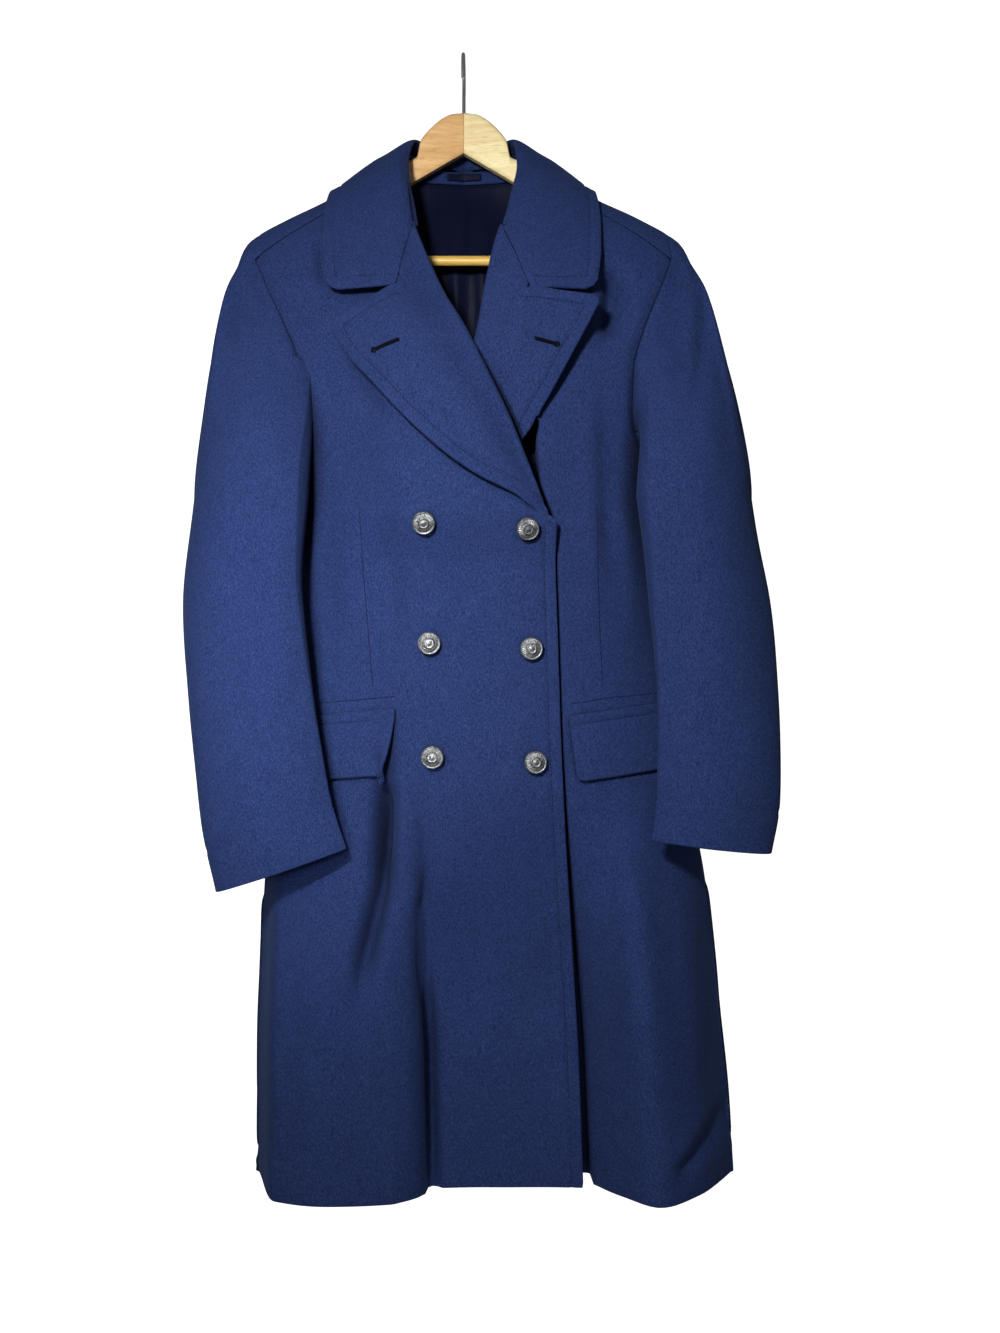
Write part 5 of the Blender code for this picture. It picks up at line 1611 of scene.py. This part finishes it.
def button_mesh(name):
    """Shank button: turned back and rim below, moulded face above."""
    turn = np.linspace(0, 2 * math.pi, BUTTON_STEPS, endpoint=False)
    rings = [(share, np.full(BUTTON_STEPS, height)) for share, height in BUTTON_BACK]
    rings += [(share, button_height(share, turn)) for share in BUTTON_FACE]
    circle = BUTTON_RADIUS * np.stack([np.cos(turn), np.sin(turn)], -1)
    points = np.concatenate([np.column_stack([share * circle, level]) for share, level in rings])
    return mesh_from(name, points.tolist(), ring_faces(len(rings), BUTTON_STEPS))


def build_buttons(front, pewter, thread):
    tree = grid_tree(front.outer)
    places = [(sign, z) for sign in (-1, 1) for z in BUTTON_Z]
    holes = []
    for number, (sign, z) in enumerate(places, start=1):
        x = BUTTON_MIDDLE_X + sign * BUTTON_SPREAD
        z = z - (sign + 1) * BUTTON_SLIP / 2
        seat, out = seat_on(tree, x, z)
        name = f"button_{number}"
        made = place_mesh(f"{name}_metal", button_mesh(name), pewter)
        turn = Vector(out).to_track_quat("Z", "Y").to_matrix().to_4x4()
        spin = Matrix.Rotation(BUTTON_SPIN * number, 4, "Z")
        made.matrix_world = Matrix.Translation(Vector(seat + out * BUTTON_SEAT)) @ turn @ spin
        bind(made, name)
        # Near-black threads mark the buttonholes' ends beside these buttons, painting the shade of their
        # slits
        if sign > 0:
            near, near_out = seat_on(tree, x - FRONT_HOLE_NEAR, z)
            far, _ = seat_on(tree, x + BUTTON_RADIUS + FRONT_HOLE_PAST, z)
            holes.append((near + near_out * HOLE_PROUD, far + out * HOLE_PROUD, FRONT_HOLE_THREAD, out))
    bind(joined_threads("buttonhole_ends", holes, thread))


def build_seams(name, panel, finish):
    """Seams of darts, pocket jets, shoulder and armhole, as thin dark lines on the cloth that paint the
    shade along the seams.
    """
    tree = grid_tree(panel.outer)
    lines = [panel.outer[SEAM_FIRST_ROW:, -1], panel.outer[-1]]
    for seam in HAIRLINES:
        if seam.piece == name:
            spots = [tree.ray_cast(*picture_ray(place))[0] for place in seam.points]
            fine = resampled(np.array(spots), SEAM_STEP)
            lines.append([front_hit(tree, spot[0], spot[2])[0] for spot in fine])
    threads = [thread for line in lines for thread in chain(line, SEAM_RADIUS, AHEAD)]
    bind(joined_threads(f"{name}_seams", threads, finish))


def build_buttonholes(lapels, thread):
    """Keyhole buttonholes worked in dark thread: a bar and a small eye at its end. The thread's
    near-black also paints the shade in the slits.
    """
    threads = []
    for hole in BUTTONHOLES:
        tree = grid_tree(lapels[hole.piece].outer)

        def proud(spot):
            return np.array(tree.find_nearest(Vector(spot))[0]) + AHEAD * HOLE_PROUD

        start, end = [np.array(tree.ray_cast(*picture_ray(place))[0])
                      for place in (hole.start, hole.end)]
        along = unit(end - start)
        side = unit(np.cross(along, AHEAD))
        for offset in (-HOLE_HALF * side, HOLE_HALF * side):
            spots = [proud(spot) for spot in resampled([start + offset, end + offset], HOLE_STEP)]
            for one, two in zip(spots, spots[1:]):
                past = (two - one) * HOLE_OVERLAP
                threads.append((one - past, two + past, HOLE_THREAD, AHEAD))
        turns = [2 * math.pi * number / EYE_STEPS for number in range(EYE_STEPS + 1)]
        eye = [proud(end) + EYE_RADIUS * (along * math.cos(turn) + side * math.sin(turn))
               for turn in turns]
        threads += chain(eye, EYE_THREAD, AHEAD)
    bind(joined_threads("lapel_buttonholes", threads, thread))


# Hanger

def arm_top(x):
    """Upper edge of an arm: an arch at the middle, then just under the line of the coat's shoulder."""
    under = ridge_z(x) - (CLOTH + ARM_RIDE) * math.hypot(1, ARM_RIDE_SLOPE)
    return float(mix(read(ARCH, "z", x, "x"), under, rises(x, ARM_UNDER_COAT)))


def arm_low(x):
    """Lower edge of an arm: a slope from the mitre, a drop to its heel and a small rise at its end."""
    heights = [MITRE_LOW_Z, MITRE_LOW_Z - ARM_SLOPE * ARM_LOW_X, ARM_END_LOW_Z,
               ARM_END_LOW_Z + ARM_END_RISE]
    return float(np.interp(x, [0, ARM_LOW_X, ARM_HEEL_X, ARM_END_X], heights))


def arm_ring(x, sign):
    """Section of an arm: a bevel along its lower edges and a rounded crown."""
    low, high = arm_low(x), arm_top(x)
    thins = [(at.x, at.share) for at in ARM_THINS]
    thick = ARM_THICK / 2 * float(np.interp(x, *zip(*thins)))
    half = [(across * thick, low + up * ARM_BEVEL) for across, up in ARM_EDGE]
    half += [(thick, mix(low, high, 0.5)), (thick, high - ARM_CROWN)]
    for turn in ARM_TURNS:
        across = thick * math.cos(turn) ** ARM_ROUND_ACROSS
        half.append((across, high - ARM_CROWN * (1 - math.sin(turn) ** ARM_ROUND_UP)))
    section = [(-across, z) for across, z in half] + [(0.0, high)] + half[::-1]
    return [(sign * x, MITRE_Y - TOE_IN * x + across, z) for across, z in section]


def build_arm(name, sign, finish):
    """Contoured arm with rounded edges, set along a line that comes forward from the mitre."""
    rings = [arm_ring(x, sign) for x in ARM_STATIONS]
    faces = ring_faces(len(rings), len(rings[0]))
    if sign > 0:
        faces = [face[::-1] for face in faces]
    mesh = mesh_from(name, [point for ring in rings for point in ring], faces)
    mesh.set_sharp_from_angle(angle=math.radians(ARM_SHARP))
    bind(place_mesh(f"{name}_wood", mesh, finish), name)


def build_bar(finish):
    place = Matrix.Translation((0, MITRE_Y - TOE_IN * BAR_HALF, BAR_Z))
    mesh = bmesh.new()
    bmesh.ops.create_cone(mesh, cap_ends=True, segments=BAR_SIDES, radius1=BAR_RADIUS,
                          radius2=BAR_RADIUS, depth=2 * BAR_HALF)
    bmesh.ops.transform(mesh, matrix=place @ Matrix.Rotation(math.pi / 2, 4, "Y"), verts=mesh.verts)
    data = bpy.data.meshes.new("hanger_bar")
    mesh.to_mesh(data)
    mesh.free()
    data.shade_smooth()
    data.set_sharp_from_angle(angle=math.radians(BAR_SHARP))
    bind(place_mesh("hanger_bar_wood", data, finish), "hanger_bar")


# Materials

def set_inputs(shader, inputs):
    for name, value in inputs.items():
        shader.inputs[name.replace("_", " ")].default_value = value


def add_node(tree, kind, **inputs):
    made = tree.nodes.new(kind)
    set_inputs(made, inputs)
    return made


def new_material(name, **inputs):
    made = bpy.data.materials.new(name)
    made.use_nodes = True
    shader = made.node_tree.nodes["Principled BSDF"]
    set_inputs(shader, inputs)
    return made, made.node_tree, shader


def plain_material(name, colour, **inputs):
    return new_material(name, Base_Color=(*colour, 1.0), **inputs)[0]


def noise(tree, stretch, turn=(0, 0, 0), **inputs):
    """Noise over the piece's own coordinates, stretched and turned."""
    place = add_node(tree, "ShaderNodeTexCoord")
    mapping = add_node(tree, "ShaderNodeMapping", Scale=stretch, Rotation=turn)
    made = add_node(tree, "ShaderNodeTexNoise", **inputs)
    tree.links.new(place.outputs["Object"], mapping.inputs["Vector"])
    tree.links.new(mapping.outputs["Vector"], made.inputs["Vector"])
    return made.outputs["Fac"]


def ramp(tree, value, stops):
    """Colours that a value runs through, each with its place."""
    made = add_node(tree, "ShaderNodeValToRGB")
    band = made.color_ramp
    while len(band.elements) < len(stops):
        band.elements.new(0.5)
    for element, (position, colour) in zip(band.elements, stops):
        element.position = position
        element.color = (*colour, 1.0)
    tree.links.new(value, made.inputs["Fac"])
    return made.outputs["Color"]


def multiplied(tree, one, two):
    """Product of two colours."""
    made = tree.nodes.new("ShaderNodeMix")
    made.data_type = "RGBA"
    made.blend_type = "MULTIPLY"
    made.inputs["Factor"].default_value = 1.0
    tree.links.new(one, made.inputs["A"])
    tree.links.new(two, made.inputs["B"])
    return made.outputs["Result"]


def bumped(tree, shader, value, strength, distance):
    """Give a shader relief from a value."""
    made = add_node(tree, "ShaderNodeBump", Strength=strength, Distance=distance)
    tree.links.new(value, made.inputs["Height"])
    tree.links.new(made.outputs["Normal"], shader.inputs["Normal"])


def with_painted_shade(tree, colour):
    """Painted shade: a colour darkened by ambient occlusion where cloth lies close to cloth and little
    light gets in.
    """
    shade_occlusion = add_node(tree, "ShaderNodeAmbientOcclusion", Distance=PAINTED_SHADE_REACH)
    shade_occlusion.samples = PAINTED_SHADE_SAMPLES
    depth = ramp(tree, shade_occlusion.outputs["AO"], [(0.05, PAINTED_SHADE_FLOOR), (0.80, WHITE)])
    return multiplied(tree, colour, depth)


def wool_material(name, shade):
    """Melton: tones of navy fibre in a short matted nap, with a faint upright grain, and painted shade
    where cloth lies close to cloth. All tones are scaled by shade, which below 1 paints the shade of
    seam and stitch grooves.
    """
    made, tree, shader = new_material(
        name, Roughness=0.92, Specular_IOR_Level=0.12, Sheen_Weight=WOOL_SHEEN, Sheen_Roughness=0.45,
        Sheen_Tint=(0.32, 0.52, 1.0, 1.0))
    fibre = noise(tree, (1.0, 1.0, 0.45), Scale=950.0, Detail=3.0, Roughness=0.65)
    stops = [(0.30, WOOL_DARK), (0.52, WOOL_MIDDLE), (0.74, WOOL_LIGHT)]
    fibres = ramp(tree, fibre, [(at, [shade * part for part in colour]) for at, colour in stops])
    patch = noise(tree, (1.0, 1.0, 0.6), Scale=55.0, Detail=3.0, Roughness=0.6)
    patches = ramp(tree, patch, [(0.3, (0.94, 0.94, 0.95)), (0.7, (1.05, 1.05, 1.04))])
    # The fibre colours are darkened by painted shade where cloth lies close to cloth
    tree.links.new(with_painted_shade(tree, multiplied(tree, fibres, patches)), shader.inputs["Base Color"])
    nap = noise(tree, (1.0, 1.0, 0.6), Scale=900.0, Detail=4.0, Roughness=0.75)
    bumped(tree, shader, nap, strength=0.30, distance=0.0008)
    return made


def satin_material():
    made, tree, shader = new_material(
        "satin_look", Base_Color=(*SATIN_COLOUR, 1.0), Roughness=0.48, Specular_IOR_Level=0.035,
        Sheen_Weight=0.02, Sheen_Tint=(0.5, 0.6, 1.0, 1.0))
    rumple = noise(tree, (1.0, 1.0, 0.30), Scale=42.0, Detail=3.0, Roughness=0.45, Distortion=0.8)
    bumped(tree, shader, rumple, strength=0.22, distance=0.007)
    return made


def wood_material(name, turn, dark, light):
    """Varnished wood with its grain along one direction."""
    made, tree, shader = new_material(name, Roughness=0.38, Coat_Weight=0.25, Coat_Roughness=0.2)
    grain = noise(tree, (6.0, 60.0, 150.0), turn, Scale=1.0, Detail=6.0, Roughness=0.62,
                  Distortion=0.35)
    pores = noise(tree, (40.0, 500.0, 1100.0), turn, Scale=1.0, Detail=2.0)
    tone = ramp(tree, grain, [(0.32, dark), (0.66, light)])
    flecks = ramp(tree, pores, [(0.30, (0.80, 0.74, 0.66)), (0.46, WHITE)])
    tree.links.new(multiplied(tree, tone, flecks), shader.inputs["Base Color"])
    bumped(tree, shader, pores, strength=0.1, distance=0.0003)
    return made


def pewter_material():
    made, tree, shader = new_material("pewter_look", Metallic=0.9, Roughness=0.46)
    wear = noise(tree, (1.0, 1.0, 1.0), Scale=420.0, Detail=4.0, Roughness=0.65)
    tone = ramp(tree, wear, [(0.34, PEWTER_DARK), (0.62, PEWTER_LIGHT)])
    tree.links.new(tone, shader.inputs["Base Color"])
    return made


# Camera, light and floor

def add_camera():
    data = bpy.data.cameras.new("camera")
    data.sensor_fit = "VERTICAL"
    data.sensor_height = SENSOR_HEIGHT
    data.lens = SENSOR_HEIGHT * PICTURE_FOCAL / PICTURE_HEIGHT
    data.dof.use_dof = False
    made = bpy.data.objects.new("camera", data)
    made.location = CAMERA
    made.rotation_euler = (math.pi / 2, 0, 0)
    bpy.context.collection.objects.link(made)
    bpy.context.scene.camera = made


def add_light(light):
    data = bpy.data.lights.new(light.name, "AREA")
    data.shape = "DISK"
    data.size = light.size
    data.spread = math.radians(light.spread)
    data.energy = light.power
    made = bpy.data.objects.new(light.name, data)
    made.location = light.place
    toward = Vector(light.target) - Vector(light.place)
    made.rotation_euler = toward.to_track_quat("-Z", "Y").to_euler()
    bpy.context.collection.objects.link(made)


def add_stage(name, points, faces, strength):
    """A plain pale surface round the coat that glows evenly but does not light it."""
    finish = plain_material(f"pale_{name}", STAGE_COLOUR, Roughness=0.9, Emission_Color=(*WHITE, 1.0),
                            Emission_Strength=strength)
    made = place_mesh(name, mesh_from(name, points, faces), finish)
    made.visible_diffuse = False
    made.visible_glossy = False


def add_studio():
    world = bpy.data.worlds.new("studio")
    world.use_nodes = True
    background = world.node_tree.nodes["Background"]
    set_inputs(background, {"Color": (*WORLD_COLOUR, 1.0), "Strength": WORLD_LIGHT})
    bpy.context.scene.world = world
    bpy.context.scene.view_settings.view_transform = "Standard"
    for light in LIGHTS:
        add_light(light)
    turns = np.linspace(0, 2 * math.pi, BACKDROP_STEPS, endpoint=False)
    low = [(BACKDROP_RADIUS * math.cos(turn), BACKDROP_RADIUS * math.sin(turn), FLOOR_Z)
           for turn in turns]
    high = [(x, y, CEILING_Z) for x, y, _ in low]
    walls = ring_faces(2, BACKDROP_STEPS)[:BACKDROP_STEPS]
    add_stage("floor", low, [tuple(range(BACKDROP_STEPS))], FLOOR_GLOW)
    add_stage("backdrop", low + high, walls, BACKDROP_GLOW)


def main():
    wool = wool_material("wool_look", 1.0)
    # Darker wool for the seam lines and for the stitch threads, which are real; their darkness is
    # painted shade of the grooves
    seam = wool_material("wool_seam_painted_shade", SEAM_PAINTED_SHADE)
    satin = satin_material()
    pewter = pewter_material()
    # Buttonhole thread, near-black so that it also paints the shade in the slits
    thread = plain_material("black_thread_slit_shade", THREAD_AND_SLIT_SHADE_COLOUR, Roughness=0.95, Specular_IOR_Level=0.1)
    slope = math.atan(ARM_SLOPE)
    arm_right_wood, arm_left_wood, bar_wood = [
        wood_material(wood.name, (0, wood.tilt * slope, 0), wood.dark, wood.light) for wood in WOODS]
    steel = plain_material("steel_look", STEEL_COLOUR, Metallic=1.0, Roughness=0.28)

    front_right = build_front("front_right", "top", top_layer, wool, seam)
    front_left = build_front("front_left", "under", under_layer, wool, seam)
    back_right = build_back("back_right", -1, wool)
    back_left = build_back("back_left", 1, wool)
    build_sleeve("right", SLEEVE_RIGHT, front_right, back_right, wool)
    build_sleeve("left", SLEEVE_LEFT, front_left, back_left, wool)
    lapels = {"lapel_right": build_lapel("lapel_right", "top", front_right, top_layer, wool, seam),
              "lapel_left": build_lapel("lapel_left", "under", front_left, bare_layer, wool, seam)}
    build_collar((front_right, front_left, back_right, back_left), lapels, wool, seam)
    build_inside((back_right, back_left), wool, satin)
    for flap, front in zip(FLAPS, (front_right, front_left)):
        build_flap(flap, front, wool, seam)
    build_buttons(front_right, pewter, thread)
    build_seams("front_right", front_right, seam)
    build_seams("front_left", front_left, seam)
    build_buttonholes(lapels, thread)
    build_arm("hanger_arm_right", -1, arm_right_wood)
    build_arm("hanger_arm_left", 1, arm_left_wood)
    build_bar(bar_wood)
    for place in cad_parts["hanger_hook"].material_slots:
        place.material = steel
    add_camera()
    add_studio()


main()
